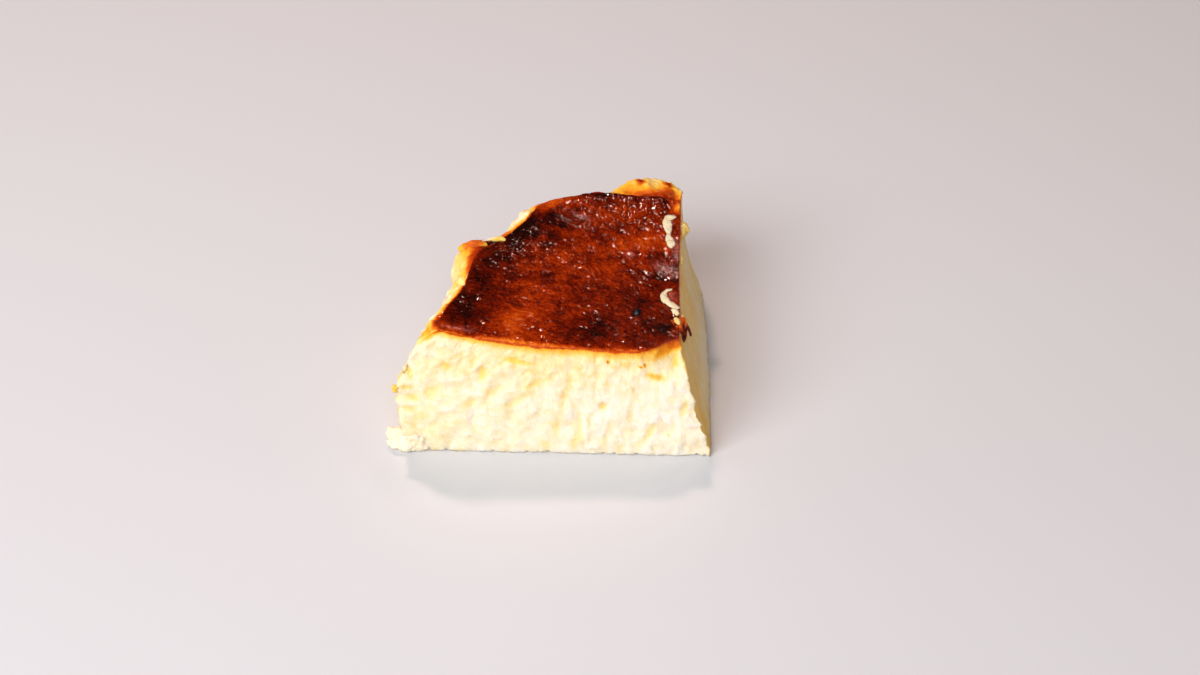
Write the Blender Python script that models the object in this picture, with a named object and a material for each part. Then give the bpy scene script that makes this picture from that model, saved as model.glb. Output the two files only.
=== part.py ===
"""A quarter of a round Basque burnt cheesecake, as one solid.

The quarter was cut from an 18 cm round that was baked in crumpled parchment. It has a
sunken, deeply browned skin on top, a pleated outer wall, a crumbly front cut, a smooth
right cut, and small lumps of curd and torn skin along its edges. Its lower face is flat.

Lengths below are in millimetres. The slice is worked out from the lower end of its tip
edge: -X runs along the front cut, +Y runs along the right cut, and +Z is up.
"""

import math

import bmesh
import bpy
import numpy as np
from mathutils import Matrix, Vector, noise

MM = 0.001
QUARTER = 90.0

# Driving dimensions
WALL_RADIUS = 89.6
WALL_BELLY = 1.6
BELLY_HEIGHT = 38.0
RIM_HEIGHT = 42.6
SUNKEN_BY = 7.2
SHOULDER_START = 23.0
PLAIN_SQUARENESS = 1.5
FOLD_AT_BASE = 0.15
FOLD_FULL_HEIGHT = 26.0
FRONT_LEAN = 0.05
RIGHT_LEAN = 0.28
RIGHT_LEAN_BOW = 0.02
FOOT_BOW = 0.95
FOOT_TURN_IN = 2.0
SLUMP_RISE = 0.13
SLUMP_FALL = 0.0062
TIP_CHAMFER = 7.2
TIP_CHAMFER_START = 25.0
BASE_OVERLAP = 1.0
SLAB_SIZE = 300.0

# Mesh density: columns on each of the four sides of the outline, rows up the wall
SIDE_COLUMNS = 36
LOWER_ROWS = 10
SHOULDER_ROWS = 11
PROFILE_STEPS = 200
EVENING_STEPS = 400

# The pleated outline: (angle from the front cut in degrees, skin radius, fold depth in the wall)
OUTLINE = (
    (0.0, 78.0, 0.3),
    (4.0, 78.8, 3.0),
    (8.0, 78.0, 4.8),
    (12.0, 76.5, 4.5),
    (16.0, 75.8, 4.4),
    (18.7, 76.0, 7.4),
    (21.5, 77.0, 5.0),
    (25.0, 78.2, 4.6),
    (28.5, 79.2, 3.4),
    (31.0, 79.0, 1.4),
    (34.0, 78.4, -0.2),
    (37.5, 77.6, 0.8),
    (41.0, 77.6, 6.0),
    (44.0, 77.8, 2.2),
    (48.5, 78.8, 0.8),
    (52.0, 82.2, 0.6),
    (56.0, 83.4, 2.8),
    (61.0, 82.4, 5.5),
    (67.0, 81.0, 4.0),
    (73.0, 77.8, 0.5),
    (79.0, 75.0, -1.4),
    (90.0, 73.0, -0.4),
)
# Angles over which each corner of that table is rounded off
OUTLINE_BLUR = (-1.5, -0.5, 0.5, 1.5)

# Lobes between the folds stand up square: (angle, half width, squareness)
LOBES = ((34.0, 4.0, 2.6), (50.0, 4.0, 1.6), (84.0, 7.0, 5.0))
# Each of them is a shelf below the skin's edge: (angle, half width, drop)
SHELVES = ((34.0, 4.0, 2.9), (50.0, 4.0, 2.0), (81.0, 7.0, 2.6))
# Where the rim stands higher or lower: (angle, half width, amount)
RIM_SWINGS = ((0.0, 9.0, 0.5), (60.0, 7.0, -0.6), (88.0, 15.0, -1.6))

# Relief of each surface: (feature size along x, y and z, height, seed)
RELIEF = {
    "front": (((5.0, 5.0, 6.2), 0.85, 1), ((2.4, 2.4, 3.4), 0.65, 2)),
    "right": (((6.0, 8.6, 20.0), 0.55, 4), ((2.5, 2.5, 2.5), 0.2, 5)),
    "wall": (((7.0, 7.0, 20.0), 1.3, 6), ((3.0, 3.0, 3.0), 0.55, 7)),
    "skin": (((12.0, 12.0, 12.0), 0.8, 9), ((5.0, 7.0, 12.0), 0.35, 8)),
}
# The tip's edge is toothed: (feature size, height, reach along the cuts, seed)
TEETH = (3.0, 1.4, 5.0, 3)

# Rough lumps of curd: (centre, radii, roughness, turn, seed)
FOOT_CURDS = (
    ((-88.5, 2.2, 2.2), (6.2, 4.6, 4.4), 0.34, 0.0, 21),
    ((-82.0, 0.6, 1.4), (5.0, 2.4, 3.0), 0.3, 8.0, 22),
)
EDGE_CURDS = (
    ((-90.6, 0.9, 22.6), (2.0, 1.3, 1.1), 0.3, 0.0, 23),
    ((-8.2, 60.0, 38.2), (2.2, 2.6, 2.3), 0.3, 0.0, 24),
)
# Cream smeared on the skin, and the lump at the torn tip: (x, y, radii, turn, seed)
SMEARS = (
    (-13.8, 62.5, (1.8, 2.5, 0.9), 0.0, 25),
    (-13.2, 58.6, (1.9, 2.6, 0.9), 0.0, 30),
    (-12.0, 54.8, (1.5, 3.2, 0.9), -12.0, 26),
    (-14.3, 27.6, (1.2, 2.4, 0.8), 10.0, 27),
    (-12.9, 24.2, (1.2, 2.4, 0.8), 40.0, 31),
    (-11.3, 21.4, (1.6, 1.7, 0.9), 0.0, 28),
    (-10.2, 15.6, (1.4, 1.7, 1.1), 0.0, 29),
)
SMEAR_ROUGHNESS = 0.24
LUMP_FEATURE = 0.6

# Torn shards of skin at the tip: (x, y, length, width, heading, droop), angles in degrees
FLAKES = (
    (-10.6, 13.6, 5.2, 2.6, -28.0, 82.0),
    (-10.4, 11.4, 4.2, 2.2, -62.0, 95.0),
)
FLAKE_THICKNESS = 0.6
FLAKE_TAPER = 0.85
FLAKE_STEPS = 5

# The dark pocket between the skin's edge and a standing fold
POCKET_CENTRE = (-66.8, 50.0, 39.5)
POCKET_RADII = (2.2, 0.9, 4.0)
POCKET_TURN = 50.0

# Materials: (name, base colour, roughness), in the order of the faces' material numbers
CREAM, SKIN, WALL = 0, 1, 2
MATERIALS = (
    ("cream_curd", (0.87, 0.74, 0.46), 0.6),
    ("burnt_skin", (0.16, 0.03, 0.008), 0.35),
    ("golden_wall", (0.8, 0.5, 0.16), 0.55),
)
SHARP_ANGLE = 50.0


def swing(angle, table):
    """Sum of smooth bumps, each centred on its own angle in degrees."""
    return sum(amount * math.exp(-(((angle - centre) / width) ** 2)) for centre, width, amount in table)


def outline(angle, column):
    """A column of the outline table at an angle, with the table's corners rounded off."""
    angles = [row[0] for row in OUTLINE]
    values = [row[column] for row in OUTLINE]
    return float(np.mean([np.interp(angle + shift, angles, values) for shift in OUTLINE_BLUR]))


def limit(value):
    """The value, held between 0 and 1."""
    return min(1.0, max(0.0, value))


def smooth_step(value):
    """A ramp from 0 to 1 with soft ends."""
    value = limit(value)
    return value * value * (3.0 - 2.0 * value)


def wobble(point, sizes, seed):
    """Smooth noise of about -1 to 1, with features of the given sizes along each axis."""
    scaled = Vector([place / size for place, size in zip(point, sizes)])
    return noise.noise(scaled + Vector((7.31, 3.17, 5.93)) * seed)


def skin_radius(angle):
    """Radius of the skin's edge."""
    return outline(angle, 1)


def rim_height(angle):
    """Height of the skin's edge."""
    return RIM_HEIGHT + swing(angle, RIM_SWINGS)


def wall_radius(angle, height):
    """Radius of the wall below the shoulder, with the folds fading towards the base."""
    belly = WALL_BELLY * math.sin(math.pi * limit(height / BELLY_HEIGHT))
    fold_share = FOLD_AT_BASE + (1.0 - FOLD_AT_BASE) * smooth_step(height / FOLD_FULL_HEIGHT)
    return WALL_RADIUS + belly - outline(angle, 2) * fold_share


def wall_profile(angle):
    """(radius, height) pairs from the base to the skin's edge, one for each row."""
    heights = np.linspace(-BASE_OVERLAP, SHOULDER_START, LOWER_ROWS + 1)
    lower = [(wall_radius(angle, height), height) for height in heights]
    start_radius = lower[-1][0]
    end_radius, end_height = skin_radius(angle), rim_height(angle)
    power = 2.0 / (PLAIN_SQUARENESS + swing(angle, LOBES))
    share = np.linspace(0.0, 1.0, PROFILE_STEPS)
    turn = share * math.pi / 2
    radii = end_radius + (start_radius - end_radius) * np.cos(turn) ** power
    heights = SHOULDER_START + (end_height - SHOULDER_START) * np.sin(turn) ** power
    heights -= swing(angle, SHELVES) * np.sin(math.pi * share**1.3)
    run = np.concatenate([[0.0], np.cumsum(np.hypot(np.diff(radii), np.diff(heights)))])
    stops = np.linspace(0.0, run[-1], SHOULDER_ROWS + 1)[1:]
    upper = zip(np.interp(stops, run, radii), np.interp(stops, run, heights))
    return lower + [(float(radius), float(height)) for radius, height in upper]


def top_height(x, y):
    """Height of the sunken skin above the base at a place in plan."""
    angle = math.degrees(math.atan2(y, -x))
    share = limit(math.hypot(x, y) / skin_radius(angle))
    rim = RIM_HEIGHT + (rim_height(angle) - RIM_HEIGHT) * share**2
    return rim - SUNKEN_BY * (1.0 - 0.35 * share - 0.65 * share**5)


def right_cut_x(y, height):
    """The right cut leans in towards the top. Its foot bows out, and turns in at the wall."""
    along = limit(y / WALL_RADIUS)
    bow = math.sin(math.pi * along)
    foot = FOOT_BOW * bow - FOOT_TURN_IN * along**8
    slump = along**3 * (SLUMP_RISE * height - SLUMP_FALL * height**2)
    return foot - (RIGHT_LEAN + RIGHT_LEAN_BOW * bow) * height - slump


def tip_point(height):
    """The edge where the two cuts meet. Its upper end is crushed to a chamfer."""
    rise = (height - TIP_CHAMFER_START) / (RIM_HEIGHT - SUNKEN_BY - TIP_CHAMFER_START)
    setback = TIP_CHAMFER * smooth_step(rise) ** 1.3
    return Vector((right_cut_x(0.0, height), FRONT_LEAN * height + setback, height))


def arc_column(angle):
    """A column of the outer wall. Both cuts lean in, so the arc's ends lean with them."""
    turn = math.radians(angle)
    along = angle / QUARTER
    column = []
    for radius, height in wall_profile(angle):
        x = -radius * math.cos(turn) + along**2 * right_cut_x(radius, height)
        y = radius * math.sin(turn) + (1.0 - along) ** 2 * FRONT_LEAN * height
        column.append(Vector((x, y, height)))
    return column


def cut_column(share, outer_column, front):
    """A column of a cut face, at a share of the way from the tip to the outer wall."""
    outer_top = outer_column[-1]
    rows = len(outer_column) - 1
    tip_top = tip_point(RIM_HEIGHT - SUNKEN_BY)
    top = tip_top.lerp(outer_top, share)
    full = top_height(top.x, top.y) + BASE_OVERLAP
    column = []
    for row, outer in enumerate(outer_column):
        even = row / rows
        like_wall = (outer.z + BASE_OVERLAP) / (outer_top.z + BASE_OVERLAP)
        height = full * (even + (like_wall - even) * share**3) - BASE_OVERLAP
        tip = tip_point(min(height, tip_top.z))
        point = tip.lerp(outer, share)
        point.z = height
        if front:
            plain = FRONT_LEAN * height
            off_tip = abs(point.x - tip.x)
            point.y = plain + (tip.y - plain) * max(0.0, 1.0 - off_tip / TIP_CHAMFER)
        else:
            point.x = right_cut_x(point.y, height)
        column.append(point)
    return column


def outline_columns():
    """All columns round the outline, with the kind of surface that each one starts."""
    half = SIDE_COLUMNS
    first, last = arc_column(0.0), arc_column(QUARTER)
    columns = [(cut_column(i / half, first, True), "front") for i in range(half)]
    columns += [(arc_column(QUARTER * i / (2 * half)), "wall") for i in range(2 * half)]
    columns += [(cut_column(1.0 - i / half, last, False), "right") for i in range(half)]
    return columns


def top_patch(edge):
    """A grid of points that fills the skin's outline, blended from its four sides and evened."""
    half = SIDE_COLUMNS
    front = edge[: half + 1]
    far = edge[half : 2 * half + 1]
    back = edge[2 * half : 3 * half + 1][::-1]
    near = (edge[3 * half :] + edge[:1])[::-1]
    grid = np.zeros((half + 1, half + 1, 3))
    for i in range(half + 1):
        u = i / half
        for j in range(half + 1):
            v = j / half
            sides = front[i] * (1 - v) + back[i] * v + near[j] * (1 - u) + far[j] * u
            ends = front[0] * (1 - u) * (1 - v) + front[-1] * u * (1 - v)
            ends = ends + back[0] * (1 - u) * v + back[-1] * u * v
            grid[i, j] = sides - ends
    for _ in range(EVENING_STEPS):
        around = grid[:-2, 1:-1] + grid[2:, 1:-1] + grid[1:-1, :-2] + grid[1:-1, 2:]
        grid[1:-1, 1:-1] = around / 4
    for i in range(1, half):
        for j in range(1, half):
            grid[i, j, 2] = top_height(grid[i, j, 0], grid[i, j, 1])
    return grid


def relief(point, kinds):
    """How far the surface stands off its plain shape: crags, creases and wrinkles."""
    out = 0.0
    for kind in sorted(kinds):
        for sizes, height, seed in RELIEF[kind]:
            out += height * wobble(point, sizes, seed) / len(kinds)
    if "front" in kinds:
        size, height, reach, seed = TEETH
        off_tip = abs(point.x - right_cut_x(0.0, point.z))
        out += height * math.exp(-off_tip / reach) * wobble((0.0, 0.0, point.z), (size,) * 3, seed)
    return out


def quarter_mesh():
    """The quarter with its relief, before anything is fused to it, as a bmesh."""
    mesh = bmesh.new()
    columns = outline_columns()
    count = len(columns)
    kinds = {}
    grid = []
    for column, kind in columns:
        vertices = [mesh.verts.new(point) for point in column]
        kinds.update({vertex: {kind} for vertex in vertices})
        grid.append(vertices)
    patch = top_patch([column[-1].copy() for column, kind in columns])
    half = SIDE_COLUMNS
    rim = [column[-1] for column in grid]
    top = {}
    for i in range(half + 1):
        top[(i, 0)] = rim[i]
        top[(half, i)] = rim[half + i]
        top[(half - i, half)] = rim[2 * half + i]
        top[(0, half - i)] = rim[(3 * half + i) % count]
    for i in range(half + 1):
        for j in range(half + 1):
            if (i, j) not in top:
                top[(i, j)] = mesh.verts.new(patch[i][j])
            kinds.setdefault(top[(i, j)], set()).add("skin")
    for i in range(half):
        for j in range(half):
            corners = (top[(i, j)], top[(i, j + 1)], top[(i + 1, j + 1)], top[(i + 1, j)])
            mesh.faces.new(corners).material_index = SKIN
    for i in range(count):
        following = grid[(i + 1) % count]
        kind = columns[i][1]
        for row in range(len(following) - 1):
            face = mesh.faces.new((grid[i][row], grid[i][row + 1], following[row + 1], following[row]))
            face.material_index = WALL if kind == "wall" else CREAM
            for vertex in face.verts:
                kinds[vertex].add(kind)
    mesh.faces.new([column[0] for column in grid])
    bmesh.ops.recalc_face_normals(mesh, faces=mesh.faces)
    mesh.normal_update()
    moves = [(vertex, vertex.normal * relief(vertex.co, kinds[vertex])) for vertex in mesh.verts]
    for vertex, move in moves:
        if vertex.co.z < 0.0:
            move.z = 0.0
        vertex.co += move
    return mesh


def new_object(name, mesh, materials):
    """Scales a bmesh from millimetres to metres and links it as an object."""
    mesh.transform(Matrix.Scale(MM, 4))
    data = bpy.data.meshes.new(name)
    mesh.to_mesh(data)
    mesh.free()
    for material in materials:
        data.materials.append(material)
    item = bpy.data.objects.new(name, data)
    bpy.context.scene.collection.objects.link(item)
    return item


def lump_mesh(centre, radii, roughness, turn, seed):
    """A small rough blob of curd: a ball stretched to its radii, with noise on it."""
    mesh = bmesh.new()
    bmesh.ops.create_icosphere(mesh, subdivisions=2, radius=1.0)
    for vertex in mesh.verts:
        vertex.co *= 1.0 + roughness * wobble(vertex.co, (LUMP_FEATURE,) * 3, seed)
    spin = Matrix.Rotation(math.radians(turn), 4, "Z")
    mesh.transform(Matrix.Translation(centre) @ spin @ Matrix.Diagonal((*radii, 1.0)))
    return mesh


def flake_mesh(root, length, width, heading, droop):
    """A torn shard of skin: a tapering strip that curls down as it leaves its root."""
    mesh = bmesh.new()
    turn, bend_in_all = math.radians(heading), math.radians(droop)
    forward = Vector((math.cos(turn), math.sin(turn), 0.0))
    across = Vector((-forward.y, forward.x, 0.0))
    rings = []
    for step in range(FLAKE_STEPS + 1):
        share = step / FLAKE_STEPS
        bend = bend_in_all * share
        centre = root + forward * length * math.sin(bend) / bend_in_all
        centre.z -= length * (1.0 - math.cos(bend)) / bend_in_all
        side = across * width / 2 * (1.0 - FLAKE_TAPER * share)
        up = (forward * math.sin(bend) + Vector((0, 0, math.cos(bend)))) * FLAKE_THICKNESS / 2
        corners = (centre - side - up, centre + side - up, centre + side + up, centre - side + up)
        rings.append([mesh.verts.new(corner) for corner in corners])
    for first, second in zip(rings, rings[1:]):
        for k in range(4):
            after = (k + 1) % 4
            mesh.faces.new((first[k], first[after], second[after], second[k]))
    mesh.faces.new(rings[0][::-1])
    mesh.faces.new(rings[-1])
    bmesh.ops.recalc_face_normals(mesh, faces=mesh.faces)
    for face in mesh.faces:
        face.material_index = SKIN
    return mesh


def fused_meshes():
    """Curd lumps, smears and torn skin that are part of the slice."""
    meshes = [lump_mesh(*curd) for curd in FOOT_CURDS + EDGE_CURDS]
    for x, y, radii, turn, seed in SMEARS:
        meshes.append(lump_mesh((x, y, top_height(x, y)), radii, SMEAR_ROUGHNESS, turn, seed))
    for x, y, length, width, heading, droop in FLAKES:
        meshes.append(flake_mesh(Vector((x, y, top_height(x, y))), length, width, heading, droop))
    return meshes


def pocket_mesh():
    """The hollow of the dark pocket."""
    mesh = bmesh.new()
    bmesh.ops.create_icosphere(mesh, subdivisions=2, radius=1.0)
    spin = Matrix.Rotation(math.radians(POCKET_TURN), 4, "Z")
    mesh.transform(Matrix.Translation(POCKET_CENTRE) @ spin @ Matrix.Diagonal((*POCKET_RADII, 1.0)))
    return mesh


def slab_mesh():
    """Everything below the plane that the slice rests on, to be cut away."""
    mesh = bmesh.new()
    bmesh.ops.create_cube(mesh, size=SLAB_SIZE)
    mesh.transform(Matrix.Translation((0.0, 0.0, -SLAB_SIZE / 2)))
    return mesh


def combine(target, operation, items):
    """Joins the items to the target, or cuts them from it, and removes them."""
    group = bpy.data.collections.new("items")
    bpy.context.scene.collection.children.link(group)
    for item in items:
        bpy.context.scene.collection.objects.unlink(item)
        group.objects.link(item)
    modifier = target.modifiers.new("combine", "BOOLEAN")
    modifier.operation = operation
    modifier.operand_type = "COLLECTION"
    modifier.collection = group
    modifier.solver = "EXACT"
    bpy.context.view_layer.update()
    graph = bpy.context.evaluated_depsgraph_get()
    combined = bpy.data.meshes.new_from_object(target.evaluated_get(graph))
    target.modifiers.clear()
    old = target.data
    target.data = combined
    bpy.data.meshes.remove(old)
    for item in items:
        bpy.data.objects.remove(item)
    bpy.data.collections.remove(group)


def centre_on_origin(item):
    """Puts the middle of the slice's plan on the origin, with its base at height 0."""
    points = np.array([vertex.co for vertex in item.data.vertices])
    middle = (points.min(axis=0) + points.max(axis=0)) / 2
    item.data.transform(Matrix.Translation((-middle[0], -middle[1], 0.0)))


def new_material(name, colour, roughness):
    """A plain, non-metallic material."""
    made = bpy.data.materials.new(name)
    made.use_nodes = True
    shader = made.node_tree.nodes["Principled BSDF"]
    shader.inputs["Base Color"].default_value = (*colour, 1.0)
    shader.inputs["Roughness"].default_value = roughness
    shader.inputs["Metallic"].default_value = 0.0
    made.diffuse_color = (*colour, 1.0)
    return made


def main():
    """Builds the slice and fuses its small pieces to it."""
    for item in list(bpy.data.objects):
        bpy.data.objects.remove(item)
    materials = [new_material(*values) for values in MATERIALS]
    cheesecake = new_object("cheesecake", quarter_mesh(), materials)
    fused = [new_object(f"fused_{i}", mesh, materials) for i, mesh in enumerate(fused_meshes())]
    combine(cheesecake, "UNION", fused)
    cutters = [new_object("pocket", pocket_mesh(), materials), new_object("slab", slab_mesh(), materials)]
    combine(cheesecake, "DIFFERENCE", cutters)
    centre_on_origin(cheesecake)
    cheesecake.data.shade_smooth()
    cheesecake.data.set_sharp_from_angle(angle=math.radians(SHARP_ANGLE))


main()
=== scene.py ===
# %% [markdown]
# # A quarter of a Basque burnt cheesecake
#
# The real thing is a soft cream-cheese batter baked very hot in a tin lined with crumpled
# parchment. Its top sinks and burns to a glossy, wrinkled skin. The paper leaves pleats in its
# side, and the knife leaves a torn, curdy face where it dragged and a smooth one where it slid.
#
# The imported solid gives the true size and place. This script loads it, builds a much finer slice
# over it, and gives each surface its colour, gloss and grain.

# %% Load the frame
import math

import bmesh
import bpy
import numpy as np
from mathutils import Matrix, Vector, noise
from mathutils.bvhtree import BVHTree


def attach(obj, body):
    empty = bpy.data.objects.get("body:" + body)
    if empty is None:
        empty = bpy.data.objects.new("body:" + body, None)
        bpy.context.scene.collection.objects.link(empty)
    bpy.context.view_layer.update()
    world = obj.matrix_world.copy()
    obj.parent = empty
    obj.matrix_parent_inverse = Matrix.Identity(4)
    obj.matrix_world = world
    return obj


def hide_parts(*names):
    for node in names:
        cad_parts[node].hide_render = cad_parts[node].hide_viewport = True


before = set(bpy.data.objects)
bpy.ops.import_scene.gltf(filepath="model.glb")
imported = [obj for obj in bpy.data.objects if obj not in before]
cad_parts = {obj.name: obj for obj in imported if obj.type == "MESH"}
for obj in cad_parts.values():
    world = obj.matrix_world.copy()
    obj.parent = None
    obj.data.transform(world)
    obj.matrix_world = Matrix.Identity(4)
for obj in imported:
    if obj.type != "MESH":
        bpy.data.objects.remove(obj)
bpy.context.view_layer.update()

MM = 0.001
NODE = "cheesecake"
BODY = "root"

# %% [markdown]
# ## Where things are
#
# A slice is easiest to think about from the foot of its tip, where the two cuts meet: the front
# cut runs along -X from there, and the right cut along +Y. Every size below is in millimetres
# from that point. At the end each mesh is moved to the frame's own origin, the middle of the box.

# %% The tip's foot in the frame
TIP = Vector((46.62, -45.03, 0.0))
INTO_FRAME = Matrix.Scale(MM, 4) @ Matrix.Translation(TIP)
QUARTER = 90.0
print("tip foot in the frame:", [round(value, 2) for value in TIP])

# %% [markdown]
# ## Sizes of the slice
#
# These are the sizes that a baker could measure: the radius of the tin, the height of the rim,
# how far the middle sank, how much each cut leans. The pleated outline is a short table by
# angle, because crumpled paper follows no formula.

# %% Named sizes
WALL_RADIUS = 89.6
WALL_BELLY, BELLY_HEIGHT = 1.6, 38
RIM_HEIGHT, SUNKEN_BY = 42.6, 6.2
BOWL_SLOPE, BOWL_LIP = 0.35, 0.65
SHOULDER_START, PLAIN_SQUARENESS = 23, 1.5
FOLD_AT_BASE, FOLD_FULL_HEIGHT = 0.15, 26
FRONT_LEAN = 0.05
RIGHT_LEAN, RIGHT_LEAN_BOW = 0.28, 0.02
FOOT_BOW, FOOT_TURN_IN = 0.95, 2
SLUMP_RISE, SLUMP_FALL = 0.13, 0.0062
TIP_CHAMFER, TIP_REACH, TIP_CHAMFER_START = 7.2, 13, 25
TIP_TOP = RIM_HEIGHT - SUNKEN_BY

# Angle from the front cut in degrees, skin radius, fold depth in the wall
OUTLINE = np.array((
    (0, 78, 0.3), (4, 78.8, 3), (8, 78, 4.8), (12, 76.5, 4.5), (16, 75.8, 4.4), (18.7, 76, 7.4),
    (21.5, 77, 5), (25, 78.2, 4.6), (28.5, 79.2, 3.4), (31, 79, 1.4), (34, 78.4, -0.2),
    (37.5, 77.6, 0.8), (41, 77.6, 6), (44, 77.8, 2.2), (48.5, 78.8, 0.8), (52, 82.2, 0.6),
    (56, 83.4, 2.8), (61, 82.4, 5.5), (67, 81, 4), (73, 77.8, 0.5), (79, 75, -1.4), (90, 73, -0.4),
))
OUTLINE_BLUR = (-1.5, -0.5, 0.5, 1.5)

# Angle, half width, amount: lobes that stand square, their shelves, the rim's ups and downs
LOBES = ((34, 4, 2.6), (50, 4, 1.6), (83.5, 6.5, 5))
SHELVES = ((34, 4, 2.9), (50, 4, 2), (76, 5, 1), (91, 5, 2.2))
RIM_SWINGS = ((0, 9, 0.5), (60, 7, -0.6), (88, 15, -1.6))
print("outline rows:", len(OUTLINE))

# %% [markdown]
# ## The shape as functions
#
# Each function answers one plain question, such as how high the skin is at a place in plan. They
# take whole arrays of numbers, so a hundred thousand points cost no more effort than one.


# %% Outline and wall
def swing(angle, table):
    """Sum of smooth bumps, each centred on its own angle."""
    return sum(amount * np.exp(-(((angle - centre) / width) ** 2)) for centre, width, amount in table)


def outline(angle, column):
    """A column of the outline table at an angle, with the table's corners rounded off."""
    values = [np.interp(angle + shift, OUTLINE[:, 0], OUTLINE[:, column]) for shift in OUTLINE_BLUR]
    return np.mean(values, axis=0)


def smooth_step(value):
    """A ramp from 0 to 1 with soft ends."""
    value = np.clip(value, 0.0, 1.0)
    return value * value * (3.0 - 2.0 * value)


def rim_height(angle):
    """Height of the skin's edge."""
    return RIM_HEIGHT + swing(angle, RIM_SWINGS)


def wall_radius(angle, height):
    """Radius of the wall below the shoulder, with the folds fading towards the base."""
    belly = WALL_BELLY * np.sin(np.pi * np.clip(height / BELLY_HEIGHT, 0.0, 1.0))
    fold_share = FOLD_AT_BASE + (1.0 - FOLD_AT_BASE) * smooth_step(height / FOLD_FULL_HEIGHT)
    return WALL_RADIUS + belly - outline(angle, 2) * fold_share


def top_height(x, y):
    """Height of the sunken skin at a place in plan."""
    angle = np.degrees(np.arctan2(y, -x))
    share = np.clip(np.hypot(x, y) / outline(angle, 1), 0.0, 1.0)
    rim = RIM_HEIGHT + (rim_height(angle) - RIM_HEIGHT) * share**2
    return rim - SUNKEN_BY * (1.0 - BOWL_SLOPE * share - BOWL_LIP * share**5)


print("skin height at the tip and the rim:", top_height(-10.0, 10.0).round(1), rim_height(0.0).round(1))


# %% The two cuts
def right_cut_x(y, height):
    """The right cut leans in towards the top. Its foot bows out, and turns in at the wall."""
    along = np.clip(y / WALL_RADIUS, 0.0, 1.0)
    bow = np.sin(np.pi * along)
    foot = FOOT_BOW * bow - FOOT_TURN_IN * along**8
    slump = along**3 * (SLUMP_RISE * height - SLUMP_FALL * height**2)
    return foot - (RIGHT_LEAN + RIGHT_LEAN_BOW * bow) * height - slump


def tip_edge(height):
    """Points of the edge where the two cuts meet. Its upper end is crushed to a chamfer."""
    rise = (height - TIP_CHAMFER_START) / (TIP_TOP - TIP_CHAMFER_START)
    setback = TIP_CHAMFER * smooth_step(rise) ** 1.3
    return np.stack([right_cut_x(0.0, height), FRONT_LEAN * height + setback, height], axis=-1)


print("tip edge at the skin:", tip_edge(np.array([TIP_TOP])).round(1))

# %% [markdown]
# ## A sheet of small squares
#
# The slice's side is one long band of columns that goes once round: along the front cut, round
# the wall, and back along the right cut. Each column is a line of points from the foot up to
# the skin. The skin itself is a square grid stretched between the band's four stretches.

# %% Mesh density
SIDE = 180
LOWER_ROWS = 26
UPPER_ROWS = 36
ROWS = LOWER_ROWS + UPPER_ROWS
PROFILE_STEPS = 400
EVENING_STEPS = 3000


# %% One column of points
def wall_column(angle):
    """A column of the outer wall, from the foot to the skin's edge."""
    lower_heights = np.linspace(0.0, SHOULDER_START, LOWER_ROWS + 1)
    lower_radii = wall_radius(angle, lower_heights)
    power = 2.0 / (PLAIN_SQUARENESS + swing(angle, LOBES))
    share = np.linspace(0.0, 1.0, PROFILE_STEPS)
    turn = share * np.pi / 2
    edge = outline(angle, 1)
    radii = edge + (lower_radii[-1] - edge) * np.cos(turn) ** power
    heights = SHOULDER_START + (rim_height(angle) - SHOULDER_START) * np.sin(turn) ** power
    heights -= swing(angle, SHELVES) * np.sin(np.pi * share**1.3)
    run = np.concatenate([[0.0], np.cumsum(np.hypot(np.diff(radii), np.diff(heights)))])
    stops = np.linspace(0.0, run[-1], UPPER_ROWS + 1)[1:]
    radii = np.concatenate([lower_radii, np.interp(stops, run, radii)])
    heights = np.concatenate([lower_heights, np.interp(stops, run, heights)])
    turn, along = math.radians(angle), angle / QUARTER
    x = -radii * math.cos(turn) + along**2 * right_cut_x(radii, heights)
    y = radii * math.sin(turn) + (1.0 - along) ** 2 * FRONT_LEAN * heights
    return np.stack([x, y, heights], axis=-1)


def cut_column(share, outer, front):
    """A column of a cut face, at a share of the way from the tip to the wall's column."""
    tip_top = tip_edge(np.array(TIP_TOP))
    top = tip_top + (outer[-1] - tip_top) * share
    even = np.linspace(0.0, 1.0, len(outer))
    like_wall = outer[:, 2] / outer[-1, 2]
    height = top_height(top[0], top[1]) * (even + (like_wall - even) * share**3)
    tip = tip_edge(np.minimum(height, TIP_TOP))
    column = tip + (outer - tip) * share
    column[:, 2] = height
    if front:
        plain = FRONT_LEAN * height
        reach = smooth_step(1.0 - np.abs(column[:, 0] - tip[:, 0]) / TIP_REACH)
        column[:, 1] = plain + (tip[:, 1] - plain) * reach
    else:
        column[:, 0] = right_cut_x(column[:, 1], height)
    return column


# %% The band of columns
first, last = wall_column(0.0), wall_column(QUARTER)
band = [cut_column(i / SIDE, first, True) for i in range(SIDE)]
band += [wall_column(QUARTER * i / (2 * SIDE)) for i in range(2 * SIDE)]
band += [cut_column(1.0 - i / SIDE, last, False) for i in range(SIDE)]
band = np.array(band)
columns = len(band)
print("band of", columns, "columns and", band.shape[1], "rows")


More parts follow.
